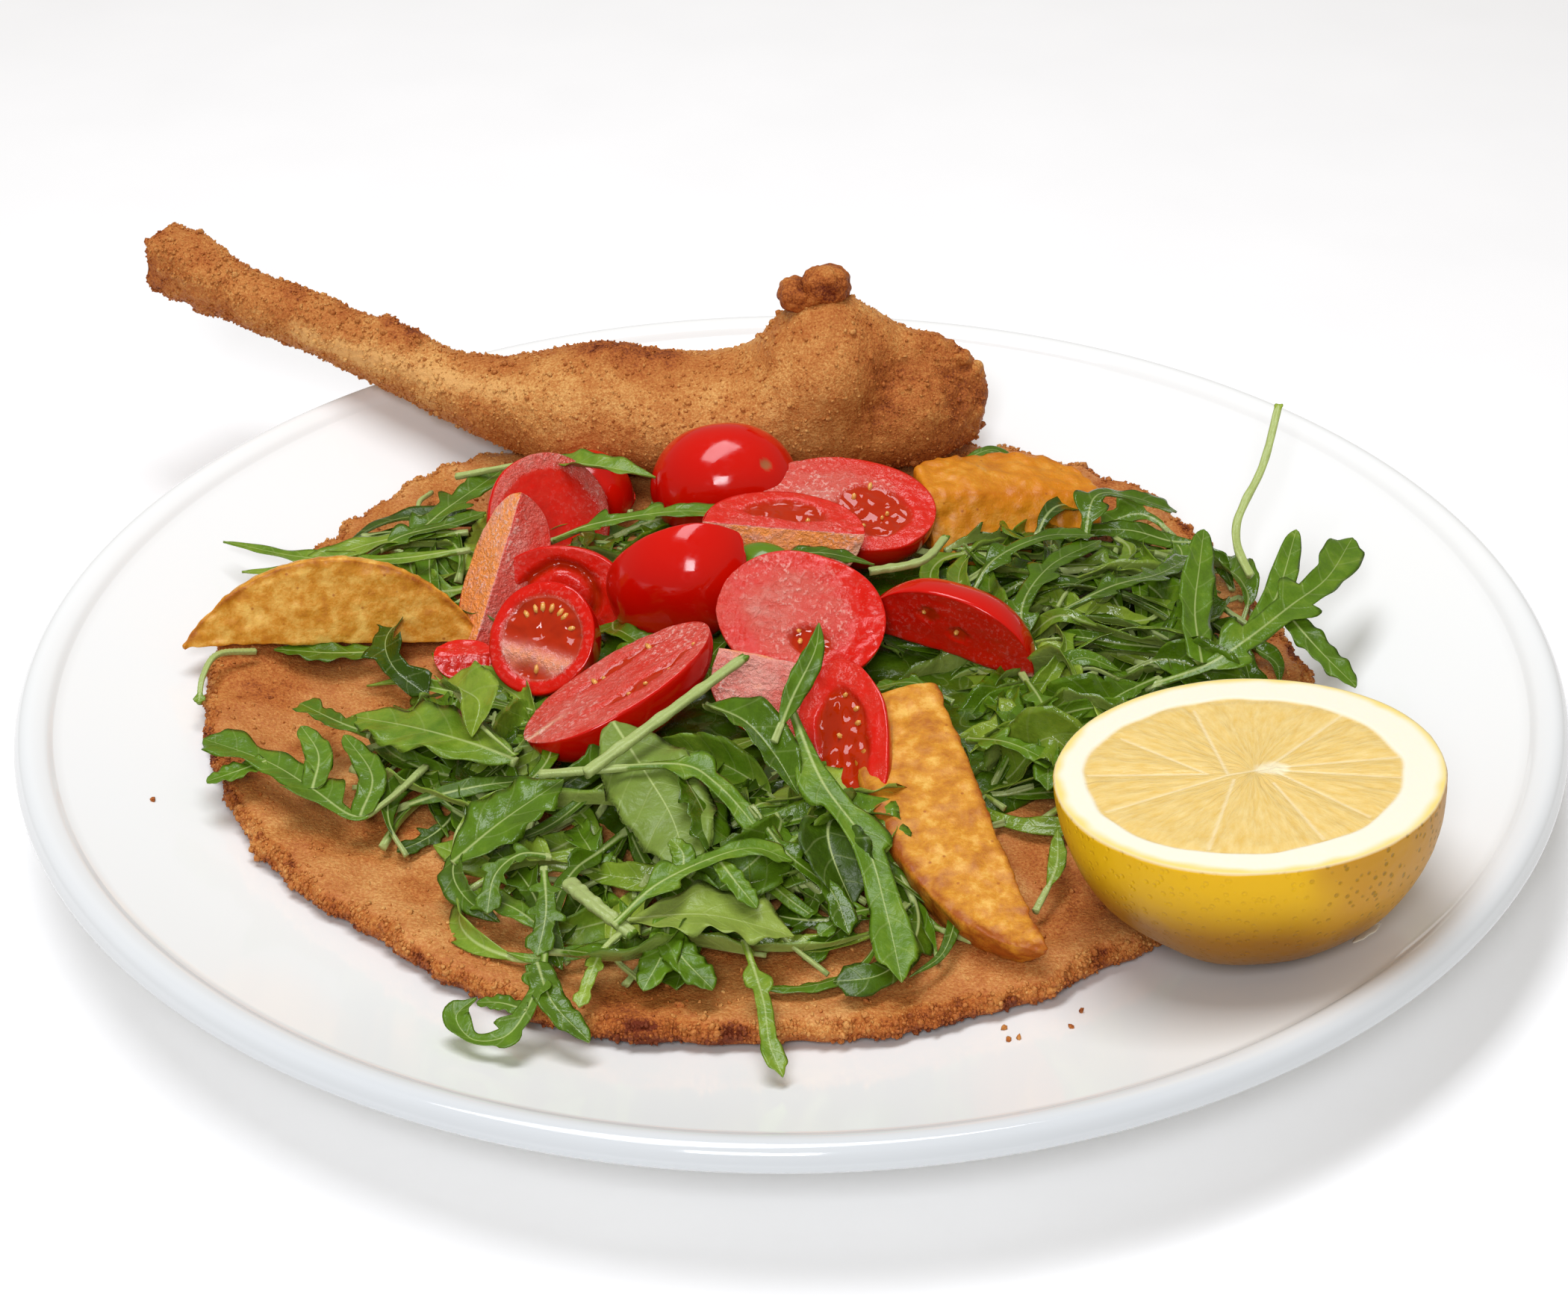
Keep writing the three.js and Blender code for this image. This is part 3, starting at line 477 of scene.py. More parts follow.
def rocket_leaf(settings):
    """Fresh rocket: thin, matt green blade with a paler rib and veins, greyer below, and
    dark and glossy where the dressing has wetted it."""
    material, tree, shader, coords, rib, vein, under, tone, wet = new_finish(
        "rocket_leaf", "rib vein under tone wet", IOR=1.42, Specular_IOR_Level=0.45,
        Subsurface_Weight=0.06, Subsurface_Scale=0.6 * MM, Subsurface_Radius=(0.6, 1.0, 0.15))
    patch = add(tree, "TexNoise", [coords, 1 / (5 * MM), 4.0, 0.65])
    shift = add(tree, "MapRange", [patch, 0.3, 0.7, -0.16, 0.16])
    shade = add(tree, "Math", [tone, shift], operation="ADD")
    ramp = add(tree, "ValToRGB", [shade])
    set_stops(ramp, (0.0, settings.dark), (0.5, settings.green), (1.0, settings.light))
    below = add(tree, "Mix", [under, ramp, settings.underside], data_type="RGBA")
    # Side veins: a thin pale line wherever the vein count passes a whole number.
    step = add(tree, "Math", [vein, 1.0], operation="PINGPONG")
    line = add(tree, "MapRange", [step, 0.03, 0.12, 0.13, 0.0])
    veined = add(tree, "Mix", [line, below, settings.rib], data_type="RGBA")
    middle = add(tree, "MapRange", [rib, 0.2, 0.5, 0.72, 0.0])
    ribbed = add(tree, "Mix", [middle, veined, settings.rib], data_type="RGBA")
    soaked = add(tree, "Math", [wet, 0.3], operation="MULTIPLY")
    dark = add(tree, "Mix", [soaked, ribbed, settings.wet], data_type="RGBA")
    gloss = add(tree, "MapRange", [wet, 0.0, 1.0, 0.4, 0.1])
    crinkle = add(tree, "TexNoise", [coords, 1 / (1.4 * MM), 3.0, 0.55])
    sunk = add(tree, "Math", [line, -1.0, crinkle], operation="MULTIPLY_ADD")
    bump = add(tree, "Bump", {"Strength": 0.5, "Distance": 0.5 * MM, "Height": sunk})
    feed(shader, {"Base Color": dark, "Roughness": gloss, "Normal": bump})
    return material


def cut_lemon(settings):
    """Half lemon: waxy pored yellow peel, soft cream pith, and wet pale amber pulp in
    segments, its juice sacs drawn out from the middle."""
    material, tree, shader, coords, pulp, wall, peel, blush, deep = new_finish(
        "cut_lemon", "pulp wall peel blush deep", IOR=1.38, Specular_IOR_Level=0.3,
        Subsurface_Weight=0.15, Subsurface_Scale=2 * MM, Subsurface_Radius=(1.0, 0.8, 0.4))
    sacs = add(tree, "UVMap", uv_map="sacs")
    streak = add(tree, "TexNoise", [sacs, 1.0, 3.0, 0.6])
    stretched = add(tree, "MapRange", [streak, 0.2, 0.8])
    juice = add(tree, "Mix", [stretched, settings.pulp_deep, settings.pulp_pale],
                data_type="RGBA")
    walled = add(tree, "Mix", [wall, juice, settings.membrane], data_type="RGBA")
    rind = add(tree, "Mix", [deep, settings.pith, settings.pith_outer], data_type="RGBA")
    face = add(tree, "Mix", [pulp, rind, walled], data_type="RGBA")
    # Painted shade: low on the body the peel darkens to a deeper yellow.
    shaded_peel = add(tree, "Mix", [deep, settings.peel, settings.peel_shaded], data_type="RGBA")
    # The dull, pored right front of the peel is partly a blush of the peel and partly painted
    # shade.
    zest = add(tree, "Mix", [blush, shaded_peel, settings.peel_blush_and_shade], data_type="RGBA")
    # Oil glands of the peel, about 1.5 mm apart.
    gland = add(tree, "TexVoronoi", [coords, 1 / (1.5 * MM)])
    pore = add(tree, "MapRange", [gland, 0.16, 0.32, 1.0, 0.0])
    seen = add(tree, "Math", [pore, blush], operation="MULTIPLY")
    pored = add(tree, "Mix", [seen, zest, settings.pore], data_type="RGBA")
    whole = add(tree, "Mix", [peel, face, pored], data_type="RGBA")
    wet = add(tree, "MapRange", [pulp, 0.0, 1.0, 0.42, 0.2])
    sunk = add(tree, "Math", [pore, peel], operation="MULTIPLY")
    sacked = add(tree, "Math", [stretched, pulp], operation="MULTIPLY")
    height = add(tree, "Math", [sacked, sunk], operation="SUBTRACT")
    bump = add(tree, "Bump", {"Strength": 0.45, "Distance": 0.35 * MM, "Height": height})
    feed(shader, {"Base Color": whole, "Roughness": wet, "Normal": bump})
    return material


def cucumber_flesh(settings):
    """Moist cucumber flesh, pale yellow-green and slightly clear, greener towards the skin."""
    material, tree, shader, coords, edge = new_finish(
        "cucumber_flesh", "edge", IOR=1.36, Roughness=0.22, Coat_Weight=0.2,
        Subsurface_Weight=0.3, Subsurface_Scale=2 * MM)
    cells = add(tree, "TexNoise", [coords, 1 / (2 * MM), 3.0])
    flesh = add(tree, "Mix", [cells, settings.cucumber, settings.cucumber_pale],
                data_type="RGBA")
    rind = add(tree, "Mix", [edge, flesh, settings.green], data_type="RGBA")
    feed(shader, {"Base Color": rind})
    return material


def dressing_film():
    """Oil and juice lying on the glaze: a faintly yellow film, seen by its sharp highlights."""
    material, tree, shader, coords = new_finish(
        "dressing_film", IOR=1.47, Roughness=0.02, Coat_Weight=1.0)
    cloud = add(tree, "TexNoise", [coords, 1 / (8 * MM)])
    tint = add(tree, "Mix", [cloud, "#F1ECDF", "#E9DFC8"], data_type="RGBA")
    feed(shader, {"Base Color": tint})
    return material


def studio_paper(settings):
    """Matt white backdrop paper."""
    material, tree, shader, coords = new_finish(
        "studio_paper", Roughness=0.9, Specular_IOR_Level=0.1)
    fibre = add(tree, "TexNoise", [coords, 1 / (40 * MM)])
    tint = add(tree, "Mix", [fibre, settings.floor, "#F8F8F8"], data_type="RGBA")
    feed(shader, {"Base Color": tint})
    return material


# ---------- settings ----------


def colour_property(name, default, description):
    """A colour kept as sRGB hex text."""
    return StringProperty(name=name, description=description, default=default)


def length_property(name, default, description):
    """A length in metres."""
    return FloatProperty(name=name, description=description, default=default, unit="LENGTH")


class PlateSettings(bpy.types.PropertyGroup):
    radius: length_property("Radius", PLATE_CORNER[0], "Of the plate's rim")
    height: length_property("Height", PLATE_CORNER[2], "Of the rim over the table")
    well_radius: length_property("Well radius", 0.086, "Of the flat middle")
    well_floor: length_property("Well floor", 0.0065, "Height of the flat middle")


class CutletSettings(bpy.types.PropertyGroup):
    thickness: length_property("Thickness", 0.0056, "Of the pounded round")
    crumb: length_property("Crumb", 0.0009, "Width of a breadcrumb")
    loose_crumbs: IntProperty(
        name="Loose crumbs", description="Grains that stand off the crust", default=15000)
    pale_crumb: colour_property("Pale crumb", "#E8B268", "Least browned grains")
    golden_crumb: colour_property("Golden crumb", "#C8823F", "Most of the crust")
    brown_crumb: colour_property("Brown crumb", "#B06024", "Well browned crust")
    # Partly the meat under thin crumb, partly a painted sheen on the greasy patches.
    thin_crumb_and_sheen: colour_property("Thin crumb", "#B4714A", "Meat under thin crumb")
    burnt_crumb: colour_property("Burnt crumb", "#6A2709", "Gaps and burnt grains")


class PotatoSettings(bpy.types.PropertyGroup):
    pale: colour_property("Pale", "#ECBC5C", "Least fried faces")
    golden: colour_property("Golden", "#D28E24", "Most of the wedge")
    brown: colour_property("Brown", "#A05210", "Edges and freckles")
    amber: colour_property("Amber", "#D67F0A", "Soaked and glazed with oil")


class TomatoSettings(bpy.types.PropertyGroup):
    skin: colour_property("Skin", "#CB0501", "Ripe skin")
    skin_orange: colour_property("Skin, lit", "#CC1503", "Skin with light behind it")
    flesh_red: colour_property("Red flesh", "#D41505", "Deep red cut flesh")
    flesh_rose: colour_property("Rose flesh", "#D02E1E", "Rose cut flesh")
    # Pink and pale flesh are partly the flesh's own colour and partly a painted sheen of wet
    # highlights.
    flesh_pink: colour_property("Pink flesh", "#D86052", "Pink cut flesh")
    flesh_pale: colour_property("Pale flesh", "#E99E90", "Pale cut flesh")
    flesh_orange: colour_property("Orange flesh", "#FF9C4C", "Orange cut flesh by the skin")
    # Painted highlight: the pale specks that stand for glints on wet cut cells.
    cells: colour_property("Cells", "#F6CDC0", "Wet walls of cut cells")
    core: colour_property("Core", "#E9B592", "Pale core by the stem")
    gel: colour_property("Gel", "#B02804", "Seed gel")
    seed: colour_property("Seed", "#E8B860", "Seeds")
    seed_shadow: colour_property("Seed shadow", "#D98436", "Darker side of seeds")
    scar: colour_property("Scar", "#A8623C", "Corky stem scar")


class SaladSettings(bpy.types.PropertyGroup):
    filler_leaves: IntProperty(
        name="Filler leaves", description="Leaves laid at random in the heap", default=350)
    seed: IntProperty(name="Seed", description="Of the random draws", default=11)
    blade: length_property("Blade", 0.0003, "Thickness of a leaf")
    dark: colour_property("Dark green", "#344C04", "Darkest leaves")
    green: colour_property("Green", "#5B7E15", "Most leaves")
    light: colour_property("Light green", "#98AE3A", "Youngest leaves")
    underside: colour_property("Underside", "#8C9D4A", "Lower face of the leaves")
    rib: colour_property("Rib", "#BAC780", "Midrib, veins and stems")
    wet: colour_property("Wet", "#223A03", "Leaves soaked with dressing")
    cucumber: colour_property("Cucumber", "#93992A", "Cucumber flesh")
    cucumber_pale: colour_property("Pale cucumber", "#BDB74C", "Pale cucumber flesh")


class LemonSettings(bpy.types.PropertyGroup):
    radius: length_property("Radius", 0.0314, "Of the cut face")
    depth: length_property("Depth", 0.0304, "From the cut face to the end")
    peel: colour_property("Peel", "#E0B010", "Ripe peel")
    # Painted shade: the darker yellow low on the peel.
    peel_shaded: colour_property("Peel, low", "#925F00", "Deeper yellow towards the end")
    # Partly a blush of the peel, partly painted shade on its right front.
    peel_blush_and_shade: colour_property("Peel, dull", "#C08A20", "Dull side of the peel")
    pore: colour_property("Pore", "#9A7414", "Oil glands")
    pith: colour_property("Pith", "#F1EDD8", "White under the peel")
    pith_outer: colour_property("Outer pith", "#EFD77E", "Where the pith meets the peel")
    pulp_deep: colour_property("Pulp", "#DDB65C", "Juice sacs")
    pulp_pale: colour_property("Pale pulp", "#ECD492", "Drier juice sacs")
    membrane: colour_property("Membrane", "#F4E6BE", "Walls between segments")


class StageSettings(bpy.types.PropertyGroup):
    floor: colour_property("Floor", "#FDFDFD", "Backdrop paper")
    key_power: FloatProperty(
        name="Top light", description="Power of the large softbox", unit="POWER", default=9.6)
    front_power: FloatProperty(
        name="Front light", description="Power of the softbox above the camera", unit="POWER",
        default=4.7)
    fill: FloatProperty(
        name="Fill", description="Strength of the white surroundings", default=0.3, min=0)


SETTINGS = {
    "plate_settings": PlateSettings,
    "cutlet_settings": CutletSettings,
    "potato_settings": PotatoSettings,
    "tomato_settings": TomatoSettings,
    "salad_settings": SaladSettings,
    "lemon_settings": LemonSettings,
    "stage_settings": StageSettings,
}


# ---------- the plate and the surfaces that carry the food ----------

INNER_RADIUS, INNER_HEIGHT, RISE = 133.0, 21.8, 1.35  # where the rising side meets the lip
PLATE_AROUND = 256


def plate_top(distance):
    """Height of the plate's top: flat in the well, then rising as distance to the power 1.35."""
    plate = bpy.context.scene.plate_settings
    well, floor = plate.well_radius / MM, plate.well_floor / MM
    t = np.maximum(0, (distance - well) / (INNER_RADIUS - well))
    return floor + (INNER_HEIGHT - floor) * t**RISE


def plate_skin():
    """A profile turned round the axis. The profile is a smooth curve through the foot, the
    underside and the lip, then the well's own formula back to the axis."""
    plate = bpy.context.scene.plate_settings
    radius, height = plate.radius / MM, plate.height / MM
    foot, foot_height, lip = 82.0, 2.4, 5.4
    flat_from, middle = 86, 0.5  # where the rings get wider apart, and the last one
    outside = [
        (foot - 6.5, foot_height), (foot - 5, 0), (foot, 0), (foot + 1.8, foot_height),
        (foot + 27, foot_height + 4.6), (foot + 46.5, height - lip - 3.4),
        (radius - 2.6, height - lip), (radius - 0.4, height - lip + 1.6),
        (radius, height - lip / 2), (radius - 1.1, height - 0.6), (radius - 3, height),
        (radius - 5.4, height - 0.8), (INNER_RADIUS, INNER_HEIGHT),
    ]
    flat = np.linspace(middle, foot - 7, 8)
    foot_part = spline(outside[:4], np.linspace(0, 1, 28))
    outer = spline(outside[3:], np.linspace(0, 1, 72))[1:]
    side, well = np.linspace(INNER_RADIUS, flat_from, 30), np.linspace(flat_from, middle, 10)
    inner = np.concatenate([side[1:], well[1:]])
    profile = np.vstack([
        np.stack([flat, np.full_like(flat, foot_height)], axis=-1),
        np.stack([foot_part[:, 0], np.maximum(foot_part[:, 1], 0)], axis=-1),
        np.minimum(outer, (radius, height)),
        np.stack([inner, plate_top(inner)], axis=-1),
    ])
    turn = full_turn(PLATE_AROUND)
    r, z = profile[:, :1], profile[:, 1:]
    return skin(xyz(r * np.cos(turn), r * np.sin(turn), z))


# ---------- the chop ----------

ROUND_MIDDLE, ROUND_RADIUS = np.array([-4.3, 3.7]), 101.7
# Where the outline swells and draws in: degrees, mm out, half width in degrees.
ROUND_BULGES = [
    (18, -2.2, 12), (44, 2.4, 12), (130, 2.2, 12), (181, 2.4, 13), (228, -2.6, 11),
    (255, 3.4, 9), (276, 0.2, 6), (290, -0.8, 7), (304, -2.4, 6),
]
# The round's section from the middle of its underside to the middle of its top: share of the
# reach, share of the thickness, and rings up to the next row.
ROUND_PROFILE = np.array([
    (0.02, 0, 3), (0.5, 0, 4), (0.9, 0, 6), (0.98, 0.05, 6), (1.0, 0.3, 6), (0.998, 0.58, 6),
    (0.985, 0.82, 8), (0.955, 0.95, 16), (0.9, 1.0, 24), (0.72, 1, 18), (0.4, 1, 10), (0.02, 1, 0),
])
ROUND_AROUND = 880


def round_edge(angle):
    """Distance from the round's middle to its edge: a circle with bell-shaped bulges."""
    degrees = np.degrees(angle)
    reach = np.full_like(degrees, ROUND_RADIUS)
    for at, out, width in ROUND_BULGES:
        off = (degrees - at + 180) % 360 - 180
        reach += out * np.exp(-((off / width) ** 2))
    return reach


def pounded_round():
    """The round: rings run from the middle of its underside, round the ragged edge, to the
    middle of its top. Height is a share of the thickness over the plate; the top has sandy
    grains, and the edge is broken up by packed crags."""
    settings = bpy.context.scene.cutlet_settings
    counts = ROUND_PROFILE[:-1, 2].astype(int)
    steps = np.concatenate([np.arange(n) / n + i for i, n in enumerate(counts)] + [[len(counts)]])
    share, level = spline(ROUND_PROFILE[:, :2], steps / len(counts)).T
    angle = full_turn(ROUND_AROUND)
    reach = round_edge(angle) + 0.5 * np.sin(angle * 31 + 2 * np.sin(angle * 7))
    reach = reach + 0.4 * np.sin(angle * 67)
    share, level = share[:, None], np.clip(level, 0, 1.05)[:, None]
    x = ROUND_MIDDLE[0] + reach * share * np.cos(angle)
    y = ROUND_MIDDLE[1] + reach * share * np.sin(angle)
    flat = xyz(x, y)
    floor = plate_top(np.hypot(x, y)) + GAP
    swell = 0.6 * rugged(flat, 18, 2, 3) + 0.45 * rugged(flat, 6, 2, 5)
    top = floor + settings.thickness / MM + swell
    rings = xyz(x, y, floor + (top - floor) * level)
    shown = smooth_step(0.02, 0.5, level)
    rim = smooth_step(0.972, 0.995, share + 0.014 * rugged(flat, 7, 2, 6)) * shown
    # Crumb lies thick at the edge and in patches, and is soaked smooth between them.
    patches = smooth_step(-0.1, 0.35, rugged(flat, 12, 3, 9))
    crumbly = np.clip(rim + 0.8 * patches, 0.3, 1) * shown
    crumb = settings.crumb / MM
    fine, coarse = grains_field(rings, crumb * 1.3, 21), grains_field(rings, crumb * 2.1, 33)
    crag = 0.6 * coarse - 0.35 + 0.7 * rugged(rings, 4.0, 3, 4)
    gap = rim * smooth_step(0.25, 0.55, rugged(rings, 5, 2, 14))
    relief = crumbly * (0.45 * fine - 0.2) + rim * crag
    relief = relief + 0.25 * patches * rugged(rings, 2.2, 2, 8) - 0.6 * gap
    rings = rings + ring_normals(rings) * relief[..., None]
    rings[..., 2] = np.maximum(rings[..., 2], floor)
    # The browning is partly painted light and shade: raised grains and crags come out paler, gaps
    # darker, and the lower side of the edge darker as painted shade.
    toast = 0.34 + 0.24 * rugged(flat, 16, 4, 12) + 0.2 * patches + 0.2 * crumbly * (0.4 - fine)
    browning_and_shade = rim * (0.08 - 0.22 * crag + 0.14 * rugged(rings, 6, 2, 2))
    toast += browning_and_shade + 0.45 * gap + 0.4 * smooth_step(0.6, 0.1, level)
    return rings, {"toast": toast, "grease": (1 - crumbly) * shown, "rim": rim}


# Along the rib bone and the thick end: middle of the section, then its reach to the front,
# to the back, up and down.
CHOP_STATIONS = np.array([
    (-132.6, 121.0, 47.4, 6.4, 5.6, 6.6, 7.0),
    (-126.4, 118.3, 46.1, 6.6, 6.2, 6.7, 7.0),
    (-121, 115.2, 44.4, 6.4, 6.2, 6.4, 6.6),
    (-112, 111, 41.6, 5.8, 5.8, 5.8, 6.0),
    (-100, 107.2, 38.2, 6.0, 6.0, 6.3, 6.0),
    (-88, 102.6, 34.6, 6.4, 6.4, 6.7, 6.4),
    (-77, 99, 31.4, 6.8, 6.8, 5.8, 7.2),
    (-67, 95.6, 28.4, 8.2, 7.8, 7.2, 7.4),
    (-56, 93, 26, 12.3, 11.3, 10.4, 8.8),
    (-43, 92, 25.4, 16.3, 13.8, 13.2, 10.8),
    (-28, 91.5, 25, 18.2, 14.8, 12.0, 11.8),
    (-15, 91, 25, 19.2, 14.8, 11.8, 11.8),
    (-6, 90.5, 25.3, 19.2, 14.8, 14.6, 11.8),
    (1, 90.2, 25.8, 18.8, 14.6, 21.5, 11.8),
    (8, 90, 26, 18.2, 14.3, 25.8, 11.8),
    (16, 90, 25.5, 16.7, 13.8, 22.6, 10.8),
    (26, 90.5, 25, 14.2, 12.8, 16.8, 9.3),
    (33, 91.5, 24.6, 11, 11, 13.6, 7),
    (37.6, 92.3, 24.4, 8.6, 8.7, 10.6, 5.8),
])

# Lumps and hollows of the thick end and the bone: place, radius, mm out, extra browning, which in
# the hollows is painted shade.
CHOP_LUMPS = [
    ((-38, 90, 39), 5.0, 2.6, 0.5),
    ((-31, 91, 38), 4.5, 2.0, 0.5),
    ((-24, 91, 37), 4, 1.4, 0.4),
    ((-15, 92, 37.5), 4, 0.7, 0.16),
    ((-78.6, 100, 37), 3.2, 2.0, 0.5),
    ((-83, 103, 39.5), 2.6, 1.2, 0.26),
    ((-104, 108, 44), 4, 0.7, 0.2),
    ((-92, 104, 41), 4, -0.8, 0.0),
    ((-125, 116, 38), 3.5, 1.0, 0.22),
    ((-118, 112, 42), 3.6, -1.4, 0.45),
    ((-124, 114, 49), 2.6, -1.2, 0.4),
    ((30, 90, 39), 4.2, 2.2, 0.2),
    ((36, 89, 36), 3.6, 1.9, 0.2),
    ((39, 88, 30), 3.6, 1.5, 0.16),
    ((26, 88, 41), 3.0, 1.3, 0.16),
    ((21, 80, 37), 5.5, -3.0, 0.3),
    ((17, 76, 31), 4.5, -2.0, 0.26),
    ((9, 75, 38), 7, 1.6, -0.04),
    ((33, 80, 24), 7, 1.4, 0.08),
    ((28, 77, 31), 5, 1.0, -0.05),
    ((27, 74, 19), 6, 1.2, 0.1),
    ((-14, 78, 36), 9, -1.0, -0.1),
    ((-45, 78, 30), 8, 0.9, -0.06),
    ((-58, 84, 25), 4, -1.3, 0.22),
    ((-49, 80, 22), 5, 1.2, 0.0),
    ((-134, 119, 53), 3.0, 0.6, 0.3),
    ((-133, 117, 43), 3.0, -1.2, 0.4),
    ((-127, 115, 39), 2.6, -1.6, 0.36),
]
# The pale streak of bone and fat that shows under thin crumb: a line from the rib on to
# the thick end.
CHOP_STREAK = [(-103, 101, 39), (-90, 97, 36), (-76.5, 92, 33.8), (-57, 83, 34)]
CHOP_ALONG, CHOP_AROUND, CHOP_CAP = 420, 216, 10  # rings, places on each, rings of a cap
# Knobs of crust: middle, half sizes, seed of the roughness, browning.
CHOP_KNOBS = [
    ((8.2, 91, 53.2), (5.4, 4.6, 3.7), 3, 0.68),
    ((3.4, 91, 51.2), (4.6, 4.2, 2.9), 9, 0.72),
    ((30, 89, 40), (3.2, 3, 1.8), 14, 0.5),
    ((35.5, 89, 37.6), (2.8, 3, 2.0), 15, 0.5),
    ((38.4, 89, 33.5), (2.0, 3, 2.4), 16, 0.5),
]
KNOB_RINGS, KNOB_AROUND = 44, 72


def swept_chop():
    """The rib bone and the thick end: rings carried along a smooth line through the stations,
    each an oval with its own reach to the front, back, top and bottom, squarer and leaning at
    the bone's sawn end, and a cap at either end; roughened by packed grains, with lumps and
    hollows as bell shapes."""
    settings = bpy.context.scene.cutlet_settings
    table = even_spline(CHOP_STATIONS, CHOP_ALONG)
    middle, (front, back, up, down) = table[:, :3], table[:, 3:].T
    ahead = unit(np.gradient(middle, axis=0))
    forward = unit(np.cross(ahead, (0, 0, 1)))
    upward = unit(np.cross(forward, ahead))
    turn = full_turn(CHOP_AROUND)
    sawn = smooth_step(-116, -130, middle[:, :1])
    c, s = (np.sign(v) * np.abs(v) ** (1 - 0.45 * sawn) for v in (np.cos(turn), np.sin(turn)))
    reach_out = np.where(c > 0, front[:, None], back[:, None]) * c
    reach_up = np.where(s > 0, up[:, None], down[:, None]) * s
    offset = reach_out[..., None] * forward[:, None] + reach_up[..., None] * upward[:, None]
    offset = offset - (0.05 * sawn * reach_up)[..., None] * ahead[:, None]
    # The caps: the end rings drawn in by a quarter circle, almost flat at the sawn end.
    bend = np.linspace(0, np.pi / 2 - 0.1, CHOP_CAP)[1:, None, None]
    tip = middle[0] - 0.4 * np.sin(bend) * ahead[0] + np.cos(bend) * offset[0]
    heel = middle[-1] + 1.8 * np.sin(bend) * ahead[-1] + np.cos(bend) * offset[-1]
    rings = np.concatenate([tip[::-1], middle[:, None] + offset, heel])
    normals = ring_normals(rings)
    crumb = settings.crumb / MM
    high_right = smooth_step(22, 36, rings[..., 0]) * smooth_step(20, 30, rings[..., 2])
    craggy = 0.7 * smooth_step(-112, -132, rings[..., 0]) + high_right
    relief = 0.5 * rugged(rings, 8, 2, 41) + 0.4 * (grains_field(rings, crumb * 1.4, 51) - 0.4)
    coarse = grains_field(rings, crumb * 3, 61) - 0.45 + 0.6 * rugged(rings, 3, 2, 15)
    toast = 0.37 + 0.22 * rugged(rings, 12, 3, 71) + 0.14 * craggy
    # Hollows get extra browning as painted shade; lumps get their own browning.
    for place, radius, out, browning_and_shade in CHOP_LUMPS:
        bell = np.exp(-np.sum((rings - np.array(place)) ** 2, axis=-1) / radius**2)
        relief += out * bell
        toast += browning_and_shade * bell
        craggy = np.maximum(craggy, smooth_step(0.15, 0.6, bell) * (browning_and_shade > 0.25))
    relief += (0.14 + 0.8 * craggy) * coarse
    # Raised coarse grains come out paler: partly browning, partly painted light.
    toast -= (0.08 + 0.16 * craggy) * coarse
    # The front right of the thick end is darker: partly browning, partly painted shade.
    toast += 0.16 * smooth_step(2, 24, rings[..., 0]) * smooth_step(90, 76, rings[..., 1])
    streak = np.exp(-((to_line(rings, CHOP_STREAK) / 2.2) ** 2))
    streak = streak * (0.9 + 0.7 * rugged(rings, 3, 2, 16))
    # The pale streak lightens the crust; painted shade darkens it where it faces down.
    toast = toast - 0.5 * streak + 0.1 * smooth_step(0.1, -0.8, normals[..., 2])
    return rings + normals * relief[..., None], {"toast": toast, "grease": 0.15 + 0.6 * streak}


def crumb_blob(middle, half, seed, browning_and_shade):
    """A craggy lump of crust: a boxy ball stretched to its half sizes, roughened by packed
    grains."""
    polar = np.linspace(0.08, np.pi - 0.08, KNOB_RINGS)[:, None]
    turn = full_turn(KNOB_AROUND)
    out = xyz(np.sin(polar) * np.cos(turn), np.sin(polar) * np.sin(turn), -np.cos(polar))
    boxy = out / np.sum(np.abs(out) ** 2.6, axis=-1, keepdims=True) ** (1 / 2.6)
    rings = np.array(middle) + boxy * np.array(half)
    rough = 0.8 * grains_field(rings, 2.4, seed) + 1.5 * rugged(rings, 4.5, 3, seed) - 0.4
    # Raised parts of the knob come out paler: partly browning, partly painted light.
    toast = browning_and_shade + 0.15 * rugged(rings, 3, 2, seed + 3) - 0.2 * (rough - 0.2)
    return rings + out * rough[..., None], {"toast": toast, "grease": np.zeros_like(toast)}


def crumbs_on(rings, values, chosen, count, size, rng):
    """Loose grains on a skin: `count` of its grid points, drawn with `chosen` as the weight,
    each with a lump half sunk along the normal."""
    normals = ring_normals(rings).reshape(-1, 3)
    points = rings.reshape(-1, 3)
    weight = chosen.reshape(-1)
    picked = rng.choice(len(points), size=count, replace=False, p=weight / weight.sum())
    scale = size * rng.lognormal(-0.1, 0.35, count)
    places = points[picked] + normals[picked] * (scale * 0.1)[:, None]
    toast = values["toast"].reshape(-1)[picked] + rng.normal(-0.04, 0.1, count)
    sizes = scale[:, None] * rng.uniform(0.3, 0.6, (count, 3))
    return scatter_lumps(places, sizes, rng, 0.35, {"toast": toast, "grease": np.full(count, 0.3)})


# ---------- wedges, halves and whole fruits ----------

# What a cut piece is like unless it says otherwise: where along its axis it ends, how sharp
# the tips are, half the angle (degrees) that its skin takes round the axis; for tomatoes,
# from where to where the wall reaches, its two tones, its gel pockets, the seeds that lie in
# them, and how smooth the flesh is.
PLAIN_CUT = dict(
    ends=(-1, 1), point=0.5, spread=90, rim=(0.55, 0.88), tones=(0.3, 0.4), pockets=(),
    seeds=0, smooth=0,
)
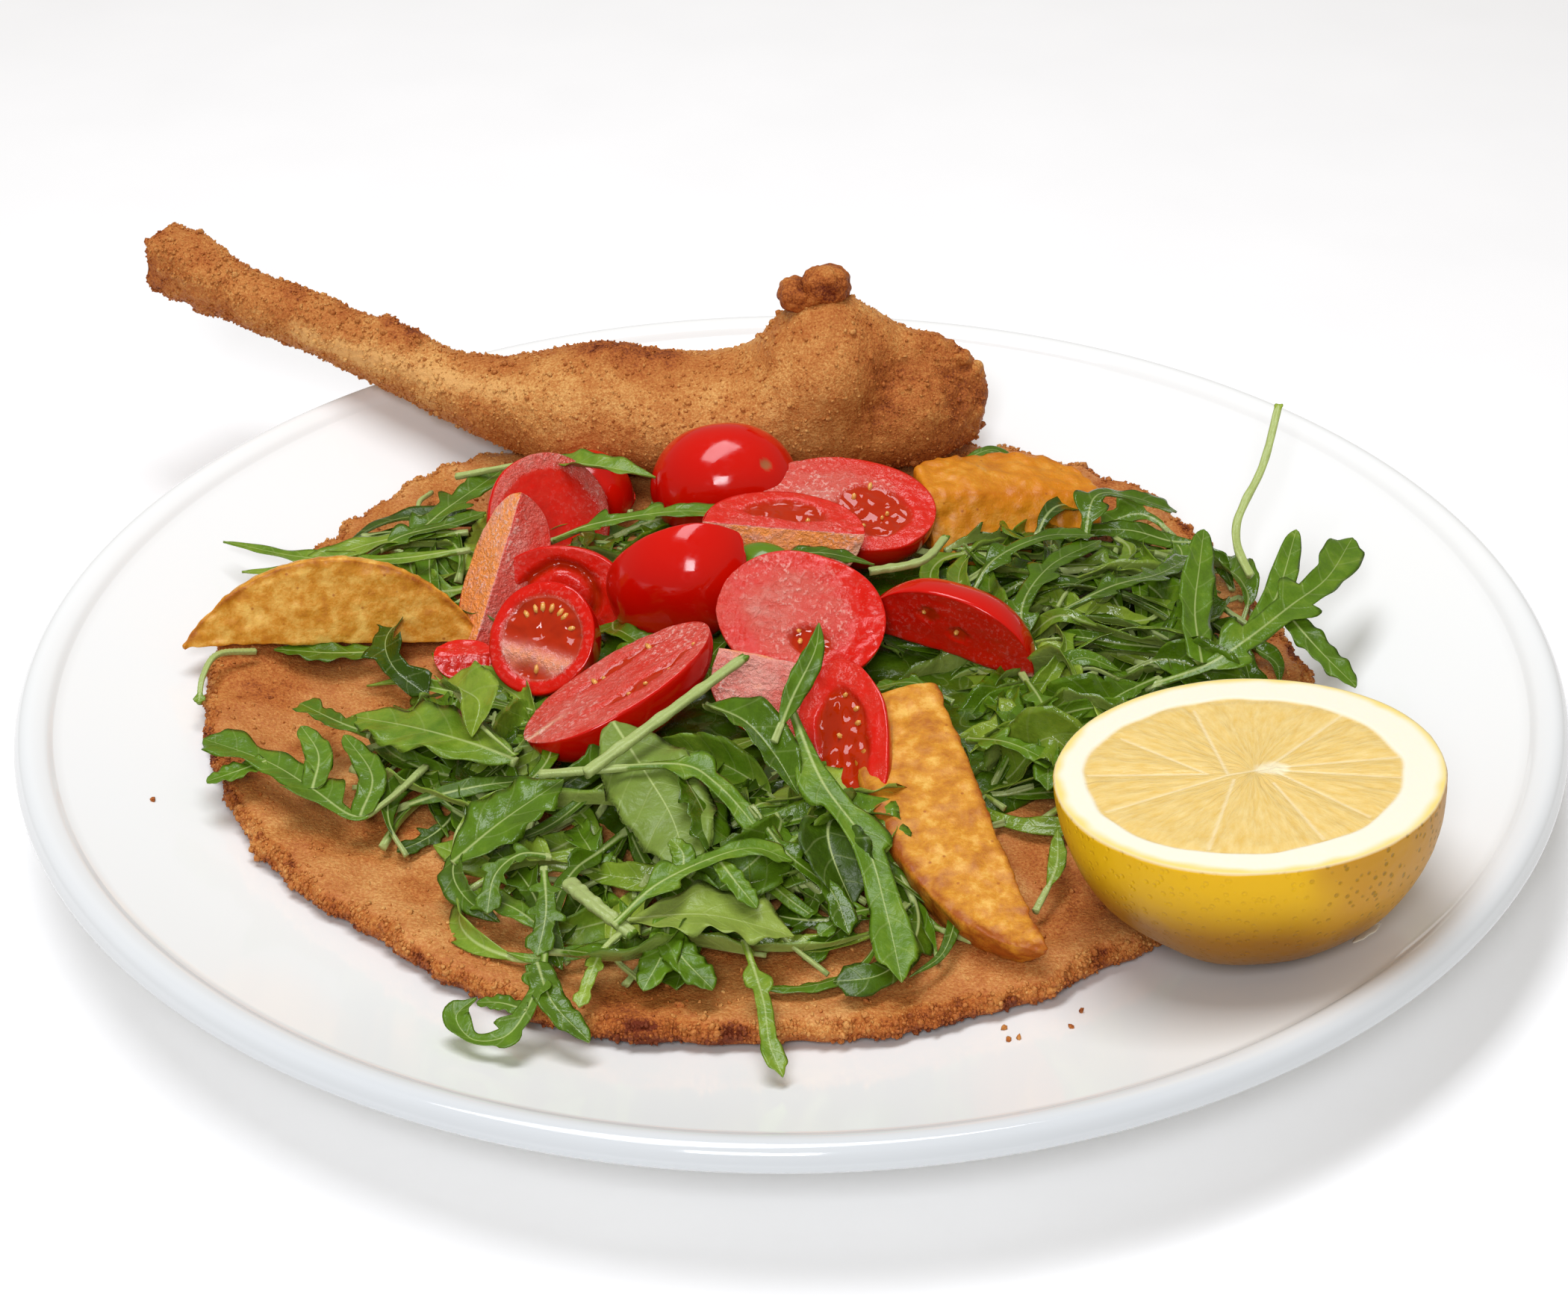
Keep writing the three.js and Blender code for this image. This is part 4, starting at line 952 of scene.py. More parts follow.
# Each is placed by the middle of its long axis, the way that axis runs and the way its skin
# faces. Then its length and girth.
TOMATOES = {
    "tomato_whole_back": dict(
        at=(-12.5, 57, 26), axis=(1, 0.02, 0.06), skin=(0, 0, 1), long=29.5, girth=24.6,
        spread=180, scar=((8.2, -6.6, 8.0), 1.2)),
    "tomato_half_back_right": dict(
        at=(12, 44.5, 28.6), axis=(0.97, -0.25, -0.1), skin=(-0.05, 0.25, -0.97), long=34,
        girth=26, tones=(0.3, 0.5), shade=(-1, 0, 0.2), pockets=[(0.3, -0.05, 0.5, 0.62)],
        seeds=6),
    "tomato_wedge_back": dict(
        at=(-1, 29, 32), axis=(1, -0.1, -0.05), skin=(0, 0.62, -0.78), long=31, girth=24,
        spread=57, tones=(0.2, 0.35), other=(0.9, 1.0), pockets=[(0.0, 0.5, 0.5, 0.3)], seeds=1,
        scar=((14.5, -4, -4), 2.4)),
    "tomato_half_left": dict(
        at=(-47, 48, 23.4), axis=(0.1, 0.66, 0.74), skin=(-0.35, 0.7, -0.62), long=27, girth=25,
        tones=(0.5, 0.1), rim=(0.78, 0.92), smooth=0.8),
    "tomato_half_behind_left": dict(
        at=(-41, 67, 17.5), axis=(1, 0.2, 0), skin=(0, 0, 1), long=20, girth=20, tones=(0.2, 0.2)),
    "tomato_wedge_left": dict(
        at=(-55.6, 21.5, 26.5), axis=(0.3, 0.55, 0.78), skin=(0.25, 0.85, -0.45), long=33,
        girth=21, spread=50, tones=(0.97, 1.0), other=(0.4, 0.55), smooth=0.5),
    "tomato_half_mid_left": dict(
        at=(-43.5, 20.4, 22.2), axis=(1, -0.1, 0.05), skin=(0.05, 0.92, -0.36), long=26, girth=20,
        tones=(0.1, 0.06), channel=0.6, smooth=0.9),
    "tomato_cross_half_front_left": dict(
        at=(-46, 3, 24), axis=(0.32, 0.66, -0.66), skin=(0, 0, 1), long=27, girth=21.5,
        spread=180, ends=(0, 1), cross=True, tones=(0.2, 0.2)),
    "tomato_wedge_middle": dict(
        at=(-19.7, 19.9, 27.4), axis=(0.66, -0.27, 0.71), skin=(-0.37, -0.93, 0), long=32,
        girth=27.6, spread=58, tones=(0.2, 0.3)),
    "tomato_half_front": dict(
        at=(-31, -17, 27), axis=(0.8, 0.5, 0.3), skin=(0.4, -0.05, -0.92), long=39, girth=23,
        tones=(0.46, 0.4), pockets=[(0.16, 0.5, 0.62, 0.13), (0.2, -0.48, 0.58, 0.14)],
        seeds=7, core=-1),
    "tomato_half_centre": dict(
        at=(2, 0, 30), axis=(0.95, -0.2, -0.15), skin=(0.15, 0.6, -0.78), long=31, girth=25,
        tones=(0.14, 0.46), shade=(-1, 0.4, 0.22), pockets=[(0.2, -0.36, 0.3, 0.22)], seeds=2),
    "tomato_wedge_front": dict(
        at=(-0.8, -15.6, 30.2), axis=(1, -0.25, -0.1), skin=(-0.15, 0.05, -0.98), long=28,
        girth=29, spread=44, tones=(0.74, 0.84), other=(0.66, 0.74), shade=(-0.3, 1, 0.3),
        ends=(-0.9, 1)),
    "tomato_half_front_right": dict(
        at=(8.6, -36, 25), axis=(0.04, -0.75, -0.4), skin=(0.45, 0.35, -0.82), long=35, girth=18,
        tones=(0.16, 0.08), pockets=[(-0.05, 0.05, 0.72, 0.62)], seeds=4, smooth=0.4),
    "tomato_wedge_right": dict(
        at=(29, 2.4, 19.8), axis=(0.9, -0.38, -0.12), skin=(0, 0.69, 0.72), long=34, girth=27,
        spread=50.5, tones=(0.06, 0.02), smooth=1, seeds=2, scar=((15.4, -7.5, -3.0), 2.6),
        pockets=[(-0.25, 0.6, 0.12, 0.12), (0.1, 0.4, 0.1, 0.1)]),
    "tomato_scrap_left": dict(
        at=(-61, 7, 18), axis=(1, 0.1, 0), skin=(0, 0.5, -0.85), long=11, girth=10, spread=62,
        tones=(0.05, 0.15), other=(0.05, 0.1)),
}

POTATOES = {
    # The left wedge is paler (fried -0.45): partly less fried, partly painted light for a face the
    # lamps light poorly.
    "potato_wedge_left": dict(
        at=(-85.5, 12.5, 17), axis=(56, 8, -4.8), skin=(0, 0.82, 0.57), long=56, girth=33,
        spread=36, point=0.85, soften=3, rough=1.0, amber=0.0, fried=-0.45),
    "potato_wedge_front": dict(
        at=(31.6, -43, 25), axis=(14, -63, -10), skin=(-0.8, -0.1, -0.58), long=87, girth=40,
        spread=31, ends=(-0.56, 0.995), point=0.62, soften=16, rough=1.3, amber=0.0, fried=0.2),
    "potato_wedge_back": dict(
        at=(42.5, 50.5, 27), axis=(0.97, 0.2, -0.1), skin=(-0.1, 0.5, -0.85), long=42, girth=32,
        spread=64, ends=(-0.74, 0.95), soften=22, rough=2.6, amber=0.6, fried=0.2),
}

CUCUMBER = dict(at=(-5, 17, 27), axis=(0.3, 1, 0), skin=(0.1, 0, 1), long=12, girth=16, spread=60)
CUT_CAP = 12  # rings over an end cut across


def cut_body(shape, steps=70, arc=60, face=28, soften=2):
    """A piece cut lengthwise out of an egg-shaped body. A ring goes round the skin's arc, in
    along one cut face to the axis and out along the other; its radius along the axis is
    (1 - |s|^2.2) to the power 0.5, or more for a pointed one. An end cut across gets rings
    from its middle outwards. Corners are rounded by averaging each place with its
    neighbours. Returns the rings, and for each place: s, the share of the radius q (below 0
    on the second face), whether it lies on a cut face, its scale and turn, and the radius."""
    shape = {**PLAIN_CUT, **shape}
    along = unit(np.array(shape["axis"], dtype=float))
    out = np.array(shape["skin"], dtype=float)
    out = unit(out - along * np.dot(out, along))
    side = np.cross(along, out)
    whole = shape["spread"] >= 180
    half = math.radians(min(shape["spread"], 180))
    s0, s1 = shape["ends"]
    s = np.sin(np.linspace(math.asin(max(s0, -0.9995)), math.asin(min(s1, 0.9995)), steps))
    scale = np.ones(steps)
    if s0 > -1:
        s = np.append(np.full(CUT_CAP, s0), s)
        scale = np.append(np.linspace(0.04, 0.97, CUT_CAP), scale)
    if s1 < 1:
        s = np.append(s, np.full(CUT_CAP, s1))
        scale = np.append(scale, np.linspace(0.97, 0.04, CUT_CAP))
    radius = np.maximum(1 - np.abs(s) ** 2.2, 1e-4) ** shape["point"]
    radius = (shape["girth"] / 2 * radius)[:, None]
    if whole:
        turn = full_turn(arc * 2)
        q, on_face, side_of = np.ones(arc * 2), np.zeros(arc * 2), np.zeros(arc * 2)
    else:
        inward = np.linspace(1, 0, face + 1)[1:]
        ends = [np.full(face, half), np.full(face - 1, -half)]
        turn = np.concatenate([np.linspace(-half, half, arc), *ends])
        q = np.concatenate([np.ones(arc), inward, inward[::-1][1:]])
        side_of = np.concatenate([np.zeros(arc), *(np.sign(end) for end in ends)])
        on_face = np.abs(side_of)
    reach = radius * q
    # Across an end, the section shrinks towards a point inside itself.
    centre_out = (0.0 if whole else 0.55) * radius
    flat_out = centre_out + (reach * np.cos(turn) - centre_out) * scale[:, None]
    flat_side = reach * np.sin(turn) * scale[:, None]
    rings = np.array(shape["at"]) + (s * shape["long"] / 2)[:, None, None] * along
    rings = rings + flat_out[..., None] * out + flat_side[..., None] * side
    for _ in range(soften):
        rings = (np.roll(rings, 1, axis=1) + 2 * rings + np.roll(rings, -1, axis=1)) / 4
        rings[1:-1] = (rings[:-2] + 2 * rings[1:-1] + rings[2:]) / 4
    s, q, scale, turn, on_face, radius = (
        np.broadcast_to(grid, reach.shape)
        for grid in (s[:, None], q * side_of, scale[:, None], turn, on_face, radius)
    )
    return rings, s, q, np.maximum(on_face, scale < 1), (scale, turn), radius


def tomato_skin(name, shape, rng):
    """A piece of tomato, and for each seed its place and the way it points. On a cut face the
    flesh changes tone from the skin inwards; pockets are soft-edged ovals, given by middle
    and half width in s and q, sunk and filled with lumpy gel; a channel is a wet groove
    between wall and core, at a fixed share of the way out."""
    shape = {**PLAIN_CUT, **shape}
    rings, s, q, face, (scale, turn), radius = cut_body(shape)
    normals = ring_normals(rings)
    seed = sum(map(ord, name))
    wavy = value_noise(rings, 4, seed)
    gel, core, scar, groove = (np.zeros_like(s) for _ in range(4))
    for s0, q0, half_s, half_q in shape["pockets"]:
        oval = ((s - s0) / half_s) ** 2 + ((q - q0) / half_q) ** 2 + 0.35 * wavy
        gel = np.maximum(gel, smooth_step(1.05, 0.7, oval) * face)
    out = np.sqrt((s / 0.93) ** 2 + q**2)
    if "channel" in shape:
        groove = np.exp(-(((out - shape["channel"] - 0.06 * wavy) / 0.1) ** 2))
        groove = groove * (np.abs(s) < 0.85) * face
        gel = np.maximum(gel, groove * smooth_step(-0.8, 0.0, value_noise(rings, 6, seed + 3)))
    rim = smooth_step(*shape["rim"], out + 0.06 * wavy)
    # Each of the two cut faces has its tone by the skin and its tone inside.
    tones = np.array([shape["tones"], shape.get("other", shape["tones"])])
    tones = tones[(q < 0).astype(int)]
    tone = tones[..., 1] + (tones[..., 0] - tones[..., 1]) * rim
    # Painted sheen: the tone rises towards one side along x and z, so that side of the face is
    # paler and pinker, with more painted glints.
    if "shade" in shape:
        to_x, to_z, amount = shape["shade"]
        off = rings - np.array(shape["at"])
        tone = tone + amount * (off[..., 0] * to_x + off[..., 2] * to_z) / (shape["long"] / 2)
    if "core" in shape:
        away = shape["core"] * s
        core = np.exp(-((q * radius / 0.5) ** 2)) * smooth_step(0.45, 0.9, away) * face
        tone = tone + 0.12 * np.exp(-((q * radius / 2.6) ** 2)) * smooth_step(-0.4, 0.8, away)
    if "cross" in shape:
        # Cut across: a wall, a little paler on top as a painted highlight, and inside it gel above
        # and below a band of orange flesh.
        height = scale * np.cos(turn) + 0.36 + 0.07 * wavy
        inside = smooth_step(0.8, 0.72, scale + 0.03 * wavy) * face
        gel = inside * (1 - np.exp(-((height / 0.15) ** 2)))
        tone = np.where(inside > 0.5, 0.86, 0.02 + 0.06 * smooth_step(0.2, 1, np.cos(turn)))
    if "scar" in shape:
        place, size = shape["scar"]
        spot = rings - (np.array(shape["at"]) + np.array(place))
        scar = smooth_step(1.15, 0.75, np.linalg.norm(spot, axis=-1) / size + 0.12 * wavy)
        core = np.maximum(core, scar * face)
    lumpy = 0.55 * value_noise(rings, 2.4, seed + 5) + 0.3 * value_noise(rings, 1.1, seed + 9)
    grain = (1 - 0.6 * shape["smooth"]) * 0.2 * value_noise(rings, 1.3, seed + 2)
    relief = gel * (-0.75 + lumpy) - 1.0 * groove
    relief = relief + face * (grain + 0.3 * value_noise(rings, 6, seed + 4))
    relief += (1 - face) * 0.3 * value_noise(rings, 8, seed + 1) - 0.3 * scar
    rings = rings + normals * relief[..., None]
    count = shape["seeds"]
    spots = np.argwhere(((gel > 0.7) | (groove > 0.8)) & (np.abs(s) < 0.8))
    spots = spots[rng.choice(len(spots), count, replace=False)] if count else spots[:0]
    if "cross" in shape:
        # Seeds fan out in the upper half, 0.56 of the way out.
        end = np.argmin(np.abs(scale[:CUT_CAP, 0] - 0.56))
        fan = np.radians([-52, -30, -14, 2, 20, 34, 58, 170])
        off = np.abs((turn[end] - fan[:, None] + np.pi) % TAU - np.pi)
        spots = np.stack([np.full(len(fan), end), off.argmin(axis=1)], axis=-1)
    row, column = spots.T
    places = rings[row, column] + normals[row, column] * 0.05
    heart = rings[row].mean(axis=1)
    fibres = value_noise(xyz(s * 5, q * radius * 0.9), 1.0, seed + 7)
    tone = np.clip(tone + 0.08 * fibres + 0.05 * value_noise(rings, 5, seed + 7), 0, 1)
    values = {"cut": face.astype(float), "gel": gel, "core": core, "tone": tone, "scar": scar}
    return skin(rings, values), np.hstack([places, unit(places - heart)])


def wedge_skin(name, shape):
    """A potato wedge: a cut body with well rounded corners, blistered all over. Its edges are
    the places that lie near the corners of the section."""
    rings, s, q, face, _, radius = cut_body(
        shape, steps=110, arc=50, face=44, soften=shape["soften"])
    seed = sum(map(ord, name))
    off_rim = (1 - np.abs(q)) * radius
    off_ridge = np.where(face > 0.5, np.abs(q) * radius, 9)
    edge = np.max([
        np.exp(-((off_rim / 2.0) ** 2)) * (face > 0.5), 0.6 * np.exp(-((off_ridge / 1.2) ** 2)),
        0.6 * (face < 0.5), smooth_step(0.9, 0.99, s),
    ], axis=0)
    rough = shape["rough"]
    relief = 0.4 * rough * rugged(rings, 7, 3, seed)
    relief = relief + 0.2 * rough * (grains_field(rings, 3.2, seed + 1) - 0.4)
    relief += 0.9 * np.maximum(rough - 1.5, 0) * rugged(rings, 15, 2, seed + 6)
    blisters = 0.35 * edge * value_noise(rings, 1.3, seed + 3)
    relief += blisters + 0.16 * value_noise(rings, 1.6, seed + 8)
    values = {
        "edge": np.clip(edge + shape["fried"] + 0.3 * rugged(rings, 4, 3, seed + 5), 0, 1),
        "amber": np.clip(shape["amber"] * (1 + 0.7 * rugged(rings, 9, 2, seed)), 0, 1),
    }
    return skin(rings + ring_normals(rings) * relief[..., None], values)


SEED_HALF = np.array([1.1, 0.55, 0.4])  # mm along, across and through


def seed_skins(places, pointing):
    """Tomato seeds: balls stretched to 2.2 x 1.1 x 0.8 mm, each along the way it points."""
    shape, faces = lump_shape()
    shapes = np.tile(shape * SEED_HALF, (len(places), 1, 1))
    side = unit(np.cross(pointing, (0.2, -0.7, 0.7)))
    return *placed_lumps(shapes, faces, places, pointing, side), {}


# ---------- the lemon ----------

LEMON_AT, LEMON_UP = np.array([73.3, -70.8, 42.6]), np.array([-0.075, 0.08, 1.0])
# Walls between the segments, each from near the core to the pith (mm from the middle).
SEGMENT_WALLS = [
    ((-3.3, -0.4), (-6.2, 21.5)),
    ((-6.6, 0.4), (-19.0, 13.8)),
    ((-6.6, 0.4), (-25.5, 2.6)),
    ((-3.3, -0.4), (-23.6, -9.2)),
    ((-2.6, -2.0), (-9.2, -22.6)),
    ((3.5, -4.0), (8.6, -22.0)),
    ((4.5, -0.6), (16.6, -16.4)),
    ((5.5, -0.2), (24.0, -5.2)),
    ((5.5, 0.9), (24.5, 1.4)),
    ((3.5, 1.4), (17.6, 16.4)),
    ((3.5, 0.9), (-3.3, -0.4)),
]


def lemon_skin():
    """Half a lemon, in its own frame with the cut face up. The body's profile is a quarter
    ellipse, and the face is a disc drawn in to the middle. On the face, the pulp is an oval
    inside the pith, parted by straight walls; each segment bulges by the square root of its
    distance from a wall, and juice sacs ripple it along the radius."""
    settings = bpy.context.scene.lemon_settings
    radius, depth = settings.radius / MM, settings.depth / MM
    around, body, face = 360, 90, 120
    turn = full_turn(around)
    fall = np.linspace(0.02, np.pi / 2, body)
    # The skin's rings up to the rim, two over the rounded rim, and those of the face.
    share = np.concatenate([np.sin(fall), [1.0, 0.993], np.linspace(0.982, 0.01, face)])[:, None]
    height = np.concatenate([-depth * np.cos(fall), [0.2, 0.45], np.full(face, 0.5)])[:, None]
    is_face = np.concatenate([np.zeros(body + 1), [0.5], np.ones(face)])[:, None]
    is_face = is_face * np.ones(around)
    x, y = radius * share * np.cos(turn), radius * share * np.sin(turn)
    place, flat, out = (xyz(x, y, z) for z in (height, 0, np.minimum(height, 0)))
    out = unit(out)
    # Pulp: out to 0.815 of the radius, a little off the middle.
    from_heart, angle = np.hypot(x - 1.0, y), np.arctan2(y, x - 1.0)
    pulp_edge = 0.815 * radius + 0.5 * value_noise(place, 5, 3)
    inside = (pulp_edge - np.hypot(x + 1.0, (y + 0.4) * 1.03)) * is_face
    to_wall = np.min([to_line(flat, [(*a, 0), (*b, 0)]) for a, b in SEGMENT_WALLS], axis=0)
    to_wall = np.minimum(to_wall, np.maximum(inside, 0) * 1.3)
    star = np.hypot((x - 4.0) / 1.3, y - 0.6) + 0.5 * value_noise(place, 1.5, 4)
    star = smooth_step(2.6, 1.2, star)
    pulp = smooth_step(-0.2, 0.7, inside)
    wall = np.clip(0.5 * smooth_step(0.45, 0.1, to_wall) * pulp + star, 0, 1)
    sacs = xyz(angle * 9, from_heart * 0.2)
    ripple = value_noise(sacs, 1.0, 5) + 0.5 * value_noise(sacs * 2.1, 1.0, 8)
    bulge = 0.5 * np.sqrt(np.clip(to_wall, 0, 3) / 3) - 0.5
    bulge = pulp * (bulge + 0.15 * ripple * smooth_step(0.2, 1.2, to_wall))
    pores = 0.3 * value_noise(place, 9, 2) - 0.12 * grains_field(place, 1.6, 7)
    place = place + out * ((1 - is_face) * pores)[..., None]
    place[..., 2] += bulge
    up = unit(LEMON_UP)
    right = unit(np.cross((0, 1, 0), up))
    rings = place @ np.stack([right, np.cross(up, right), up]) + LEMON_AT
    # Partly blush, partly painted shade: the peel is duller and darker towards the right front.
    blush = out[..., 0] - 0.2 * out[..., 1] + 0.25 * value_noise(place, 8, 11)
    by_peel = smooth_step(0.93, 0.99, np.hypot(x, y) / radius + 0.015 * value_noise(place, 3, 6))
    # Painted shade: the peel darkens from 2 to 16 mm below the face.
    low = smooth_step(-2, -16, height + value_noise(place, 9, 12))
    values = {
        "pulp": pulp, "wall": wall, "peel": 1 - smooth_step(0.0, 0.8, is_face),
        "blush": smooth_step(0.25, 0.8, blush), "deep": by_peel * is_face + low * (1 - is_face),
        "sac_turn": angle * 18, "sac_out": from_heart * 0.26,
    }
    return skin(rings, values)


# ---------- the rocket ----------

# A finger that branches off a leaf, and a bare stalk.
FINGER = dict(lobes=-1, stem=-0.05)
STALK = dict(wide=1.0, stem=0.97)
# What a leaf is like unless it says otherwise: lobes on each side; bare share of the stem,
# how stout it is and how fast it thins; tilt (degrees) and twist (radians from end to end);
# scale of each side and how far their lobes are staggered; how far lobes lean forward; and
# the blade's ruffle with its phase, its fold, its cup and whether its underside shows.
PLAIN_LEAF = dict(
    lobes=0, stem=0.02, stout=1.0, taper=0.58, tilt=0, twist=0, sides=(1, 1), stagger=0.05,
    rake=0.5, ruffle=0.14, phase=0.3, fold=0.2, cup=0.0, under=0.0,
)
